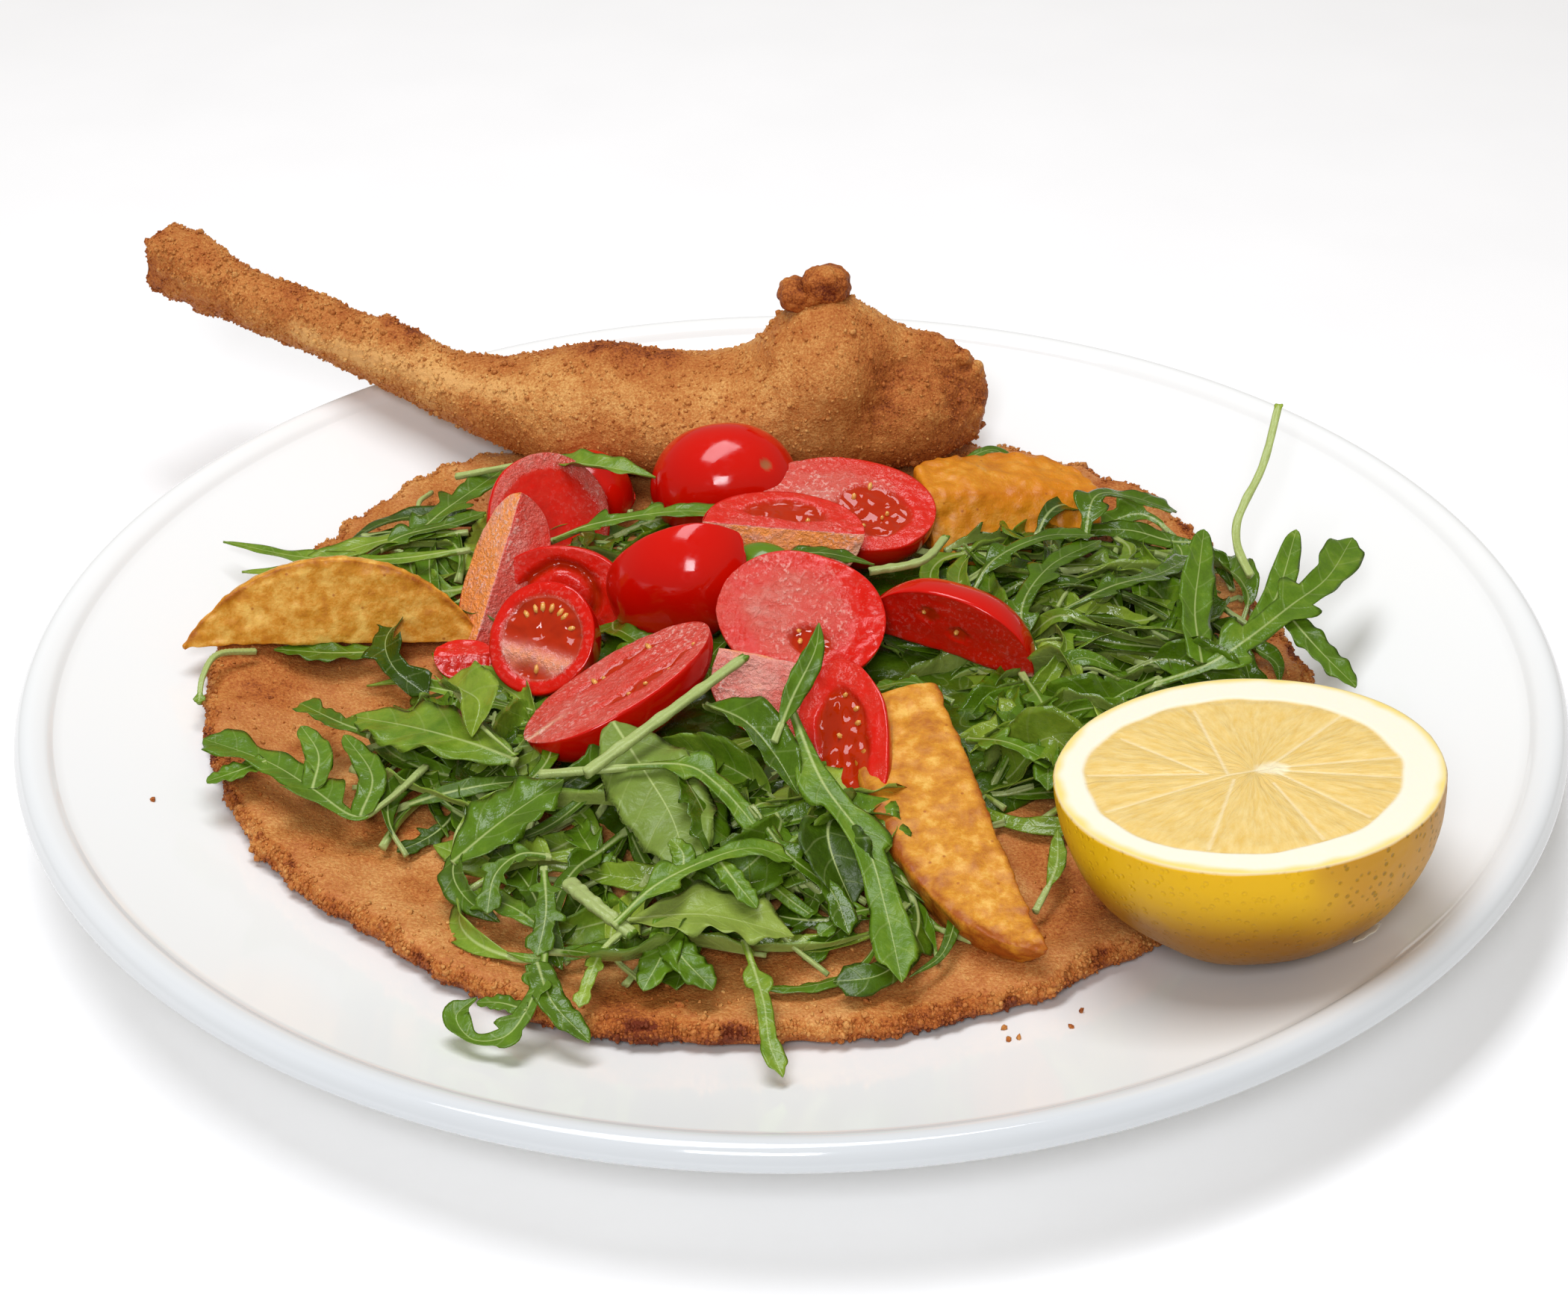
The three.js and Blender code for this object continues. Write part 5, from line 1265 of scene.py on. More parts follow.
# Leaves that stand out of the heap, each from its stem to its tip; `wide` is the half width.
LEAVES = [
    # left, over the round's edge: a lobed leaf with two long fingers
    dict(path=[(-64, -33, 20), (-70, -43, 19.5), (-75, -47, 19), (-83, -40, 20), (-92, -32, 20.5),
         (-104, -26, 21.5)], wide=7.6, lobes=1, stem=0.3, tilt=5, tone=0.45),
    dict(path=[(-83, -40, 20), (-83, -31, 21), (-87, -23, 22)], wide=2.5, tone=0.45, **FINGER),
    dict(path=[(-74, -47, 19), (-73, -37, 20.5), (-79, -26, 22)], wide=2.5, tone=0.45, **FINGER),
    dict(path=[(-92, -32, 20.5), (-98, -35, 20), (-102, -36.5, 19.5)], wide=2.4, tone=0.5,
         **FINGER),
    dict(path=[(-100, 9, 18), (-106, 4, 20.5), (-108, -2, 19.5), (-108, -8, 17.5)], wide=1.2,
         stem=0.9, taper=0.2),
    dict(path=[(-76, 11, 16), (-86, 10, 16.5), (-97, 11, 17)], wide=3.4, tone=0.3),
    # behind the left potato wedge
    dict(path=[(-62, 39, 22), (-77, 37, 21), (-94, 38, 21), (-111, 44, 21.5)], wide=2.6, stem=0.05,
         tone=0.6),
    dict(path=[(-63, 46, 22), (-78, 44, 21.5), (-90, 38, 21), (-98, 34, 20.5), (-106, 34, 20.5)],
         wide=3.0, stem=0.05, tone=0.7),
    dict(path=[(-80, 41, 21), (-73, 46, 22), (-68, 53, 23), (-58, 67, 24)], wide=6, lobes=2,
         tone=0.3),
    dict(path=[(-84, 38, 20), (-76, 44, 22), (-67, 47, 23), (-60, 52, 23)], wide=4, lobes=1,
         stem=0.05, tone=0.3),
    dict(path=[(-67, 65, 24), (-51, 63, 28), (-38, 54, 32), (-26, 51, 31)], wide=3.6, stem=0.4,
         tone=0.65, sides=(0.9, 1), fold=0.5),
    dict(path=[(-46, 35, 26), (-37, 36, 29), (-22, 37, 31), (-11, 36, 31)], wide=4.6, lobes=2,
         tone=0.5),
    # front left
    dict(path=[(-48, -35, 22), (-56, -31, 23), (-67, -24, 22), (-79, -17, 20)], wide=7.5,
         stout=1.5, fold=0.1, tone=0.62),
    dict(path=[(-75, -23, 20), (-81, -19, 20), (-89, -11, 19)], wide=4.5, lobes=1, tone=0.35),
    dict(path=[(-60, -15, 24), (-55, -27, 25), (-48, -36, 24)], **STALK),
    dict(path=[(-63, -11, 23), (-59, -18, 26), (-55, -24, 27), (-56, -30, 24)], wide=4.2,
         stem=0.05, fold=1.0, tone=0.9, wet=0.7),
    dict(path=[(-57, -60, 18.5), (-49, -53, 22), (-39, -45, 25)], wide=6.5, stem=0.0, stout=1.2,
         tone=0.42),
    dict(path=[(-35, -49, 29), (-22, -37, 32.5), (-8, -22, 35)], stout=1.7, taper=0.15, **STALK),
    dict(path=[(-43, -46, 27), (-32, -47, 28.5), (-19, -47, 29), (-13, -51, 28), (-7, -58, 25),
         (-3, -66, 23)], wide=5, lobes=1, stem=0.3, stout=1.3, tone=0.5, rake=0.2),
    dict(path=[(-31, -32, 28), (-25, -46, 27), (-20, -58, 25.5), (-17, -71, 23)], wide=8.6,
         stem=0.0, tilt=8, fold=0.05, tone=0.32, wet=0.0, under=0.5),
    dict(path=[(-19, -48, 28), (-15, -57, 26), (-13, -67, 23.5)], wide=5.5, tilt=-35, tone=0.3,
         wet=1.0),
    dict(path=[(-37, -71, 22.5), (-33, -77, 23), (-26, -84, 21.5)], stout=2.2, taper=0.2, **STALK),
    dict(path=[(-27, -82, 21.5), (-31, -88, 20.5), (-34, -98, 18)], wide=2.4, lobes=1, stem=0.3,
         tone=0.8),
    dict(path=[(-40, -81, 20.5), (-40, -91, 20), (-42, -101, 19.5), (-45, -106, 18.5),
         (-50, -106, 18), (-53, -101, 18.5), (-50, -98, 20)], wide=3.6, lobes=2, stem=0.1,
         tone=0.4, fold=0.4),
    dict(path=[(-41, -90, 20.5), (-38, -99, 19.5), (-32, -106, 17.5)], wide=2.5, tone=0.35,
         **FINGER),
    dict(path=[(-42, -101, 19.5), (-46, -99, 19.5), (-50, -98, 19)], wide=1.8, tone=0.4, **FINGER),
    dict(path=[(-29, -83, 22.5), (-21, -76, 26), (-8, -68, 26.5), (0, -68, 24)], wide=4.4, lobes=1,
         tone=0.5, stout=1.1),
    dict(path=[(-18, -74, 26), (-18, -70, 27), (-20, -67, 28)], wide=2.0, tone=0.5, **FINGER),
    dict(path=[(-12, -71, 26), (-9, -76, 25), (-6, -80, 23.5)], wide=2.0, tone=0.5, **FINGER),
    dict(path=[(-27, -79, 20.5), (-14, -80, 22), (0, -83, 20)], wide=7.2, tilt=-6, tone=0.85,
         under=0.6),
    dict(path=[(-8, -84, 20), (-5, -98, 18.8), (-4, -107, 17.5), (-2, -113, 16)], wide=3.0,
         lobes=1, tone=0.7),
    dict(path=[(-20, -80, 21.5), (-21, -87, 20), (-24, -94, 18)], wide=3.0, lobes=-1, stem=0.0,
         tone=0.45),
    dict(path=[(-21, -82, 21), (-18, -88, 19.7), (-13, -94, 18)], wide=3.0, lobes=-1, stem=0.0,
         tone=0.4),
    dict(path=[(14, -72, 17), (9, -75, 18), (4, -79, 17)], wide=3.2, lobes=2, tone=0.45),
    dict(path=[(-40, -66, 24), (-45, -67, 25), (-49, -70, 23), (-50, -76, 20)], wide=3.6, lobes=2,
         stem=0.05, tone=0.3),
    dict(path=[(-41, -69, 24), (-40, -80, 23), (-41, -88, 20.5)], wide=4.0, lobes=2, stem=0.05,
         tone=0.35),
    # front, in the middle
    dict(path=[(-3, -43, 31), (0, -36, 35), (4, -29, 40), (5, -24, 43)], wide=2.3, stem=0.15,
         tone=0.35, tilt=30),
    dict(path=[(0, -33, 31), (5, -51, 28), (12, -64, 24.5), (15, -78, 21), (17, -93, 18.5)],
         wide=6.2, lobes=1, stem=0.0, stout=1.2, tone=0.5, rake=0.9, stagger=0.2, wet=0.1),
    dict(path=[(-15, -30, 30), (-8, -37, 31), (-3, -44, 29), (1, -53, 27)], wide=4.2, fold=0.8,
         tone=0.3, wet=0.6),
    dict(path=[(-7, -55, 26), (-1, -66, 24), (6, -72, 21), (9, -80, 18)], wide=3.8, lobes=1,
         stem=0.1, tone=0.3, wet=0.7),
    # right: a large lobed leaf with two long fingers, and what lies round it
    dict(path=[(64, -12, 21), (75, -11, 25), (83, -6, 27.5), (92, 3, 29), (100, 12, 29.5),
         (107, 26, 30)], wide=6.5, lobes=2, stem=0.05, tilt=15, tone=0.5, stout=1.2),
    dict(path=[(74, -11, 25.5), (74, 1, 29), (76, 12, 32), (78, 22, 34.5)], wide=3.4, lobes=-1,
         stem=-0.02, tilt=25, tone=0.45),
    dict(path=[(84, -5, 27.5), (90, 7, 29), (96, 25, 32.5)], wide=2.6, lobes=-1, stem=-0.02,
         tilt=15, tone=0.5),
    dict(path=[(91, 2, 28), (96, -6, 25), (102, -13, 21.5)], wide=3.0, lobes=-1, stem=-0.02,
         tone=0.35),
    dict(path=[(88, 24, 23), (86, 29, 26), (86, 33, 29), (88, 37, 32), (92, 43, 37), (96, 54, 44)],
         stout=1.25, taper=0.1, tone=1.0, **STALK),
    dict(path=[(67, -10, 22), (59, -16, 22), (50, -22, 19)], wide=4.6, lobes=1, stem=0.05,
         tone=0.35, wet=0.8),
    dict(path=[(57, 34, 24), (60, 46, 28), (67, 50, 26), (77, 51, 22)], wide=5.0, lobes=1,
         tone=0.35, wet=0.8),
    dict(path=[(46, -3, 21), (43, 8, 25), (49, 21, 27), (60, 33, 26)], wide=4.6, lobes=2, tone=0.3,
         wet=0.9),
    dict(path=[(34, 17, 23), (39, 24, 27), (49, 31, 28), (59, 35, 26)], wide=4.0, lobes=1,
         tone=0.35, wet=0.9),
    dict(path=[(50, 8, 25), (60, 12, 28), (70, 20, 26), (78, 32, 23)], wide=4.4, lobes=2, tone=0.3,
         wet=0.9),
    dict(path=[(31, -28, 21), (38, -34, 24), (46, -38, 22)], wide=4.6, lobes=1, tone=0.5, wet=0.4),
    dict(path=[(40, -71, 15.5), (44, -62, 17.5), (45, -53, 19)], wide=1.6, stem=0.3, tone=0.7),
    dict(path=[(42, -8, 22), (45, -25, 24), (44, -44, 21)], wide=4.4, lobes=2, stem=0.1, tone=0.4,
         wet=0.5),
    dict(path=[(17, 66, 22), (28, 62, 24), (41, 70, 26), (46, 68, 23)], wide=2.6, lobes=1,
         stem=0.1, tone=0.3),
    dict(path=[(-6, 20, 29), (5, 18, 32.5), (16, 18, 30)], wide=2.4, tone=0.3, wet=0.9),
    dict(path=[(15, 19, 28), (25, 21, 29), (30, 29, 29.5)], stout=1.3, taper=0.1, **STALK),
    dict(path=[(29, -19, 23), (22, -15, 24.5), (15, -14, 23)], wide=3.0, lobes=2, tone=0.4,
         wet=1.0),
]

FILLER_ROWS = 33
# Where the filler leaves lie: name, middle, spread along x and y, share of them, how wet
# they are, and share of slender ones.
LEAF_BEDS = [
    ("front", (-8, -58), (22, 11), 0.27, 0.35, 0.5),
    ("right", (62, 8), (14, 23), 0.29, 0.85, 0.65),
    ("gap", (35, -18), (8, 15), 0.12, 0.6, 0.5),
    ("left", (-56, -24), (8, 11), 0.10, 0.3, 0.6),
    ("middle", (-6, 10), (32, 24), 0.10, 0.6, 0.4),
    ("behind", (-24, 42), (12, 7), 0.05, 0.9, 0.4),
    ("back", (-64, 49), (11, 7), 0.07, 0.3, 0.5),
]
# Where leaves stay under the tomatoes: from and to along x and y, and the greatest height.
UNDER_FRUIT = [
    ((-60, 42), (-50, 80), 20.5),
    ((13, 47), (-16, 12), 17.5),
    ((-72, -20), (12, 30), 18),
    ((-68, -36), (-20, 12), 15),
]
WEDGE_LINE = [(22, -2, 0), (41, -84, 0)]  # the front potato wedge
HEAP_REACH = np.array([80, 80, 72, 58, 70, 76, 60, 58, 66, 70, 56, 58])  # mm, every 30 degrees
HEAP_MIDDLE, HEAP_DEPTH = np.array([5.0, 0.0]), 8.0
LUMPS_ROOM = 1.2  # mm that the round's lumps stand over its plain thickness


def resting_top(x, y):
    """Height of the round's top, clear of its lumps."""
    thickness = bpy.context.scene.cutlet_settings.thickness / MM
    return plate_top(np.hypot(x, y)) + thickness + LUMPS_ROOM


def heap_reach(angle):
    """From the heap's middle to its edge: half a cosine wave between the reaches given."""
    sector = angle / TAU * len(HEAP_REACH)
    i = sector.astype(int) % len(HEAP_REACH)
    ease = (1 - np.cos((sector - np.floor(sector)) * np.pi)) / 2
    return HEAP_REACH[i] + (HEAP_REACH[(i + 1) % len(HEAP_REACH)] - HEAP_REACH[i]) * ease


def heap_top(x, y):
    """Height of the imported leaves: a flat-topped hill, depth times sqrt(1 - share^2.5)."""
    off_x, off_y = x - HEAP_MIDDLE[0], y - HEAP_MIDDLE[1]
    share = np.clip(np.hypot(off_x, off_y) / heap_reach(np.arctan2(off_y, off_x) % TAU), 0, 1)
    return resting_top(x, y) + HEAP_DEPTH * np.sqrt(1 - share**2.5)


def leaf_width(b, lobes, shift):
    """Half width of a blade along it, as a share of the widest place: a simple blade is a
    sine arch with a faint wave; a lobed one is a narrow wing with flat-topped bells for the
    side fingers, growing towards the tip, and a broader one for the end lobe. A finger of
    another leaf (lobes below 0) keeps its width up to a round end."""
    b = np.clip(b, 0, 1)
    if lobes < 0:
        width = np.sqrt(1 - b**5) * (0.85 + 0.2 * np.sin(np.pi * b))
        return width * (1 - 0.05 * np.abs(np.sin(b * 9 + 30 * shift)))
    if lobes == 0:
        return np.sin(np.pi * b**0.85) ** 0.7 * (1 - 0.06 * np.sin(b * 17 + 40 * shift) ** 2)
    width = 0.14 + 0.3 * smooth_step(0, 0.5, b)
    width = np.maximum(width, 0.62 * np.exp(-(np.abs((b - 0.85) / 0.15) ** 2.6)))
    half = 0.15 / (lobes + 0.6)
    for i in range(lobes):
        at = 0.16 + 0.6 * (i + 0.2) / lobes + shift
        bell = np.exp(-(np.abs((b - at) / half) ** 3.0))
        width = np.maximum(width, (0.75 + 0.25 * i / lobes) * bell)
    width = width * (1 - 0.04 * np.sin(b * 27 + 9 * shift) ** 2)
    return width * np.clip((1 - b) / 0.08, 0, 1) ** 0.6


STEM_HALF, VEIN_GAP, VEIN_LEAN = 0.7, 3.2, 3.4  # mm
# Places across a blade, from one edge (-1) over the midrib to the other.
ACROSS = np.array([-1, -0.78, -0.5, -0.22, -0.08, 0, 0.08, 0.22, 0.5, 0.78, 1])


def leaf_skin(leaf, rng, rows=82):
    """A leaf as a closed skin: at each of its rows a flat loop goes over the upper face and
    back under the lower one. An edge place lies its width from the midrib, moved towards the
    tip in proportion (so lobes point forward), lifted by the fold, by a ruffle and by the
    square of its distance. Both faces are the blade's thickness apart, plus a round rib."""
    leaf = {**PLAIN_LEAF, **leaf}
    path = even_spline(leaf["path"], rows)
    ahead = unit(np.gradient(path, axis=0))
    flat = unit(np.cross((0, 0, 1), ahead))
    length = np.linalg.norm(np.diff(path, axis=0), axis=1).sum()
    u = np.linspace(0, 1, rows)
    tilt = math.radians(leaf["tilt"]) + leaf["twist"] * (u - 0.5)
    over = np.cross(ahead, flat)
    left = flat * np.cos(tilt)[:, None] + over * np.sin(tilt)[:, None]
    normal = np.cross(ahead, left)
    stem, wide, stout = leaf["stem"], leaf["wide"], leaf["stout"]
    b = (u - stem) / (1 - stem)
    stem_half = np.clip(STEM_HALF - leaf["taper"] * u, 0.14, 1) * stout
    half = [
        np.maximum(stem_half, wide * scale * leaf_width(b, leaf["lobes"], shift) * (b > 0))
        for scale, shift in zip(leaf["sides"][::-1], (0.0, leaf["stagger"]))
    ]
    reach = np.where(ACROSS < 0, half[0][:, None], half[1][:, None])
    d = reach * np.abs(ACROSS)
    rake = leaf["rake"] * np.maximum(d - 0.3 * wide, 0)
    wave, phase = b[:, None], leaf["phase"]
    ruffle = leaf["ruffle"] * np.sin(TAU * (wave * 2.3 + phase) + ACROSS * 1.5)
    ruffle = ruffle + 0.1 * np.sin(TAU * (wave * 5.1 + 2 * phase)) * np.sign(ACROSS)
    lift = d * (leaf["fold"] + ruffle * np.abs(ACROSS)) + leaf["cup"] * d**2 / wide
    place = path[:, None] + left[:, None] * (reach * ACROSS)[..., None]
    place = place + ahead[:, None] * rake[..., None] + normal[:, None] * lift[..., None]
    rib = np.sqrt(np.maximum(1 - (d / stem_half[:, None]) ** 2, 0)) * stem_half[:, None]
    blade = bpy.context.scene.salad_settings.blade / MM / 2
    taper = 1 - 0.6 * np.abs(ACROSS) ** 6
    upper = place + normal[:, None] * (blade * taper + 0.4 * rib)[..., None]
    lower = place - normal[:, None] * (blade * taper + 0.9 * rib)[..., None]
    # Veins are counted along the rib and lean towards the tip; 40 keeps the count above 0.
    vein = b[:, None] * length / VEIN_GAP - d / VEIN_LEAN + 40 + 0.35 * (ACROSS > 0)
    b = np.clip(b, 0, 1)[:, None]
    rib_off = np.where(b <= 0, 0.2, 0.1 + 0.16 * b + d / (stout * (1 - 0.7 * b)))
    # The lower face runs back from edge to edge, without the two edges.
    rings, rib_off, vein, under = (
        np.concatenate([above, below[:, -2:0:-1]], axis=1)
        for above, below in (
            (upper, lower), (rib_off, rib_off), (vein, vein),
            (np.full_like(d, leaf["under"]), np.ones_like(d)),
        )
    )
    values = {
        "rib": rib_off, "vein": vein, "under": under,
        "tone": np.full(rings.shape[:2], leaf.get("tone", rng.uniform(0.35, 0.7))),
        "wet": np.full(rings.shape[:2], leaf.get("wet", rng.uniform(0.1, 0.5))),
    }
    return skin(rings, values)


HEAP_LIMIT = 95  # mm from the round's middle that the filler leaves keep to


def filler_leaf(rng, bed):
    """A leaf laid at random in one of the beds: a bent path over the heap, its ends lower
    than its middle, inside the round and, by the tomatoes and the potato, under them."""
    _, middle, spread, _, wet, slender = bed
    at = np.array(middle) + np.array(spread) * np.clip(rng.normal(size=2), -1.7, 1.7)
    narrow = rng.random() < slender
    heading = rng.uniform(0, TAU)
    length = rng.uniform(22, 50) if narrow else rng.uniform(18, 40)
    bend = rng.uniform(-1.5, 1.5)
    t = np.linspace(-0.5, 0.5, 6)
    turn = heading + bend * t * 2
    step = length / 5 * np.stack([np.cos(turn), np.sin(turn)], axis=-1)
    off = at + np.cumsum(step, axis=0) - step.sum(axis=0) / 2 - ROUND_MIDDLE
    distance = np.linalg.norm(off, axis=-1, keepdims=True)
    x, y = (ROUND_MIDDLE + off * np.minimum(1, HEAP_LIMIT / distance)).T
    arch = rng.uniform(-1.5, 3.0) + rng.uniform(-1, 5) * (1 - (2 * t) ** 2)
    z = heap_top(x, y) + (arch + rng.uniform(-3, 3) * t)
    # Each region holds the leaves down, with a soft border 5 mm wide.
    for (low_x, high_x), (low_y, high_y), roof in UNDER_FRUIT:
        inside = smooth_step(low_x - 5, low_x, x) * smooth_step(high_x + 5, high_x, x)
        inside = inside * smooth_step(low_y - 5, low_y, y) * smooth_step(high_y + 5, high_y, y)
        z = np.minimum(z, 60 * (1 - inside) + roof)
    # Within 10 mm of the potato wedge they stay 13 mm low.
    z = np.minimum(z, 13 + 40 * smooth_step(10, 15, to_line(xyz(x, y), WEDGE_LINE)))
    z = np.maximum(z, resting_top(x, y) + 0.6)
    return dict(
        path=xyz(x, y, z),
        wide=rng.uniform(1.3, 2.8) if narrow else rng.uniform(3.2, 6),
        lobes=0 if narrow else int(rng.integers(0, 3)),
        stem=rng.uniform(0.05, 0.3), tilt=rng.uniform(-55, 55), twist=rng.uniform(-1.3, 1.3),
        fold=rng.uniform(-0.1, 0.5), cup=rng.uniform(-0.1, 0.7), ruffle=rng.uniform(0.04, 0.16),
        phase=rng.random(), stagger=rng.uniform(-0.1, 0.1), stout=rng.uniform(0.6, 1.2),
        wet=float(np.clip(rng.normal(wet, 0.25), 0, 1)),
        tone=float(np.clip(rng.normal(0.45, 0.28), 0, 1)),
    )


def heap_skin():
    """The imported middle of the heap: rings from the middle of its underside out to its edge
    and back over the hill, roughened like crumpled leaves."""
    below, above = 20, 60
    shares = [np.linspace(0.03, 0.99, below), np.linspace(0.995, 0.03, above)]
    shares = np.concatenate(shares)[:, None]
    angle = full_turn(200)
    reach = heap_reach(angle)
    x = HEAP_MIDDLE[0] + shares * reach * 0.9 * np.cos(angle)
    y = HEAP_MIDDLE[1] + shares * reach * 0.9 * np.sin(angle)
    low, high = resting_top(x, y) - LUMPS_ROOM, heap_top(x, y) - 4.6
    high = np.maximum(high + 1.6 * rugged(xyz(x, y), 7, 3, 4), low)
    rings = xyz(x, y, np.where(np.arange(below + above)[:, None] >= below, high, low))
    fold = rugged(rings, 4, 2, 8)
    # Painted shade: the packed middle has a dark tone, standing for the shade between the leaves.
    values = {"rib": 5, "vein": 10 + 2 * fold, "under": 0, "tone": 0.12 + 0.15 * fold, "wet": 0.5}
    return skin(rings, {key: value + 0 * x for key, value in values.items()})


# ---------- on the plate ----------

# Films of oil and juice on the plate: middle, half width across and along, turn (degrees).
FILMS = [((98, -66), 3.4, 13, -28), ((104, -50), 1.6, 5, -20), ((93, -80), 1.4, 3.4, -40)]
# Crumbs that fell on the plate, and the spread about each place.
FALLEN = [(32.6, -97), (35.2, -97.8), (44.2, -95.9), (47.3, -90.6), (34, -96), (-112, -36)]
FALLEN_SPREAD = 0.6


def film_skin(middle, across, along, turned):
    """A flat drop on the plate: an oval with a wavy edge, 0.3 mm thick at its middle."""
    below, above = 8, 12
    shares = [np.linspace(0.05, 1, below), np.linspace(0.98, 0.05, above)]
    shares = np.concatenate(shares)[:, None]
    turn = full_turn(72)
    out = shares * (1 + 0.12 * np.sin(3 * turn) + 0.07 * np.sin(7 * turn + 1))
    c, s = math.cos(math.radians(turned)), math.sin(math.radians(turned))
    x, y = out * across * np.cos(turn), out * along * np.sin(turn)
    x, y = middle[0] + x * c - y * s, middle[1] + x * s + y * c
    dome = 0.04 + 0.3 * np.sqrt(np.maximum(1 - shares**2, 0))
    rise = np.where(np.arange(below + above)[:, None] >= below, dome, -0.05)
    return skin(xyz(x, y, plate_top(np.hypot(x, y)) + rise))


# ---------- operators ----------


class SCHNITZEL_OT_plate(bpy.types.Operator):
    """Make the porcelain plate"""

    bl_idname = "schnitzel.plate"
    bl_label = "Plate"

    def execute(self, context):
        make_piece("porcelain_plate", [plate_skin()], glazed_porcelain(), ["plate"])
        return {"FINISHED"}


class SCHNITZEL_OT_cutlet(bpy.types.Operator):
    """Make the breaded chop: the pounded round, the rib bone with the thick end, and crumbs"""

    bl_idname = "schnitzel.cutlet"
    bl_label = "Cutlet"

    def execute(self, context):
        settings = context.scene.cutlet_settings
        finish = fried_breadcrumb(settings)
        rng = np.random.default_rng(5)
        flat, flat_values = pounded_round()
        bone, bone_values = swept_chop()
        # Loose crumbs lie mostly round the edge, and none of them under the round.
        clear = flat[..., 2] > plate_top(np.hypot(flat[..., 0], flat[..., 1])) + 1
        by_edge, all_over = (0.04 + flat_values.pop("rim")) * clear, np.ones(bone.shape[:2])
        crumb, count = settings.crumb / MM, settings.loose_crumbs // 2
        loose_flat = crumbs_on(flat, flat_values, by_edge, count, crumb * 0.8, rng)
        loose_bone = crumbs_on(bone, bone_values, all_over, count, crumb * 0.72, rng)
        for name, skins, replaced in (
            ("cutlet_round", [skin(flat, flat_values)], ["cutlet"]),
            ("cutlet_bone_and_thick_end", [skin(bone, bone_values)], ["cutlet"]),
            ("cutlet_knob", [skin(*crumb_blob(*knob)) for knob in CHOP_KNOBS], ["cutlet"]),
            ("cutlet_round_crumbs", [loose_flat], ()),
            ("cutlet_bone_crumbs", [loose_bone], ()),
        ):
            make_piece(name, skins, finish, replaced)
        return {"FINISHED"}


class SCHNITZEL_OT_potatoes(bpy.types.Operator):
    """Make the three fried potato wedges"""

    bl_idname = "schnitzel.potatoes"
    bl_label = "Potato wedges"

    def execute(self, context):
        finish = fried_potato(context.scene.potato_settings)
        for name, shape in POTATOES.items():
            make_piece(f"fried_{name}", [wedge_skin(name, shape)], finish, [name])
        return {"FINISHED"}


class SCHNITZEL_OT_tomatoes(bpy.types.Operator):
    """Make the tomato pieces and their seeds"""

    bl_idname = "schnitzel.tomatoes"
    bl_label = "Tomatoes"

    def execute(self, context):
        settings = context.scene.tomato_settings
        finish = ripe_tomato(settings)
        rng = np.random.default_rng(23)
        seeds = []
        for name, shape in TOMATOES.items():
            part, places = tomato_skin(name, shape, rng)
            make_piece(f"cut_{name}", [part], finish, [name])
            seeds.append(places)
        places, pointing = np.hsplit(np.vstack(seeds), 2)
        seeds = seed_skins(places, pointing)
        make_piece("tomato_seeds", [seeds], tomato_seed(settings))
        return {"FINISHED"}


class SCHNITZEL_OT_lemon(bpy.types.Operator):
    """Make the half lemon"""

    bl_idname = "schnitzel.lemon"
    bl_label = "Half lemon"

    def execute(self, context):
        finish = cut_lemon(context.scene.lemon_settings)
        piece = make_piece("cut_lemon_half", [lemon_skin()], finish, ["lemon_half"])
        # The juice sacs' pattern follows the face as a UV map, one value per face corner.
        mesh = piece.data
        uv = mesh.uv_layers.new(name="sacs")
        corners = np.empty(len(mesh.loops), dtype=np.int32)
        mesh.loops.foreach_get("vertex_index", corners)
        columns = []
        for key in ("sac_turn", "sac_out"):
            values = np.empty(len(mesh.vertices), dtype=np.float32)
            mesh.attributes[key].data.foreach_get("value", values)
            columns.append(values[corners])
            mesh.attributes.remove(mesh.attributes[key])
        uv.data.foreach_set("uv", np.stack(columns, axis=-1).reshape(-1))
        return {"FINISHED"}


class SCHNITZEL_OT_salad(bpy.types.Operator):
    """Make the rocket leaves and the piece of cucumber"""

    bl_idname = "schnitzel.salad"
    bl_label = "Salad"

    def execute(self, context):
        settings = context.scene.salad_settings
        rng = np.random.default_rng(settings.seed)
        finish = rocket_leaf(settings)
        heaps = {"shown_leaves": [leaf_skin(leaf, rng) for leaf in LEAVES]}
        for bed in LEAF_BEDS:
            count = round(settings.filler_leaves * bed[3])
            leaves = [leaf_skin(filler_leaf(rng, bed), rng, FILLER_ROWS) for _ in range(count)]
            heaps[f"leaves_{bed[0]}"] = leaves
        heaps["packed_middle"] = [heap_skin()]
        for name, leaves in heaps.items():
            make_piece(f"rocket_{name}", leaves, finish, ["rocket_salad"])
        rings, _, _, face, _, _ = cut_body(CUCUMBER, steps=40, arc=40, face=20, soften=3)
        chunk = skin(rings, {"edge": smooth_step(0.5, 0.0, face)})
        finish = cucumber_flesh(settings)
        make_piece("cucumber_chunk", [chunk], finish, ["cucumber_piece"])
        return {"FINISHED"}


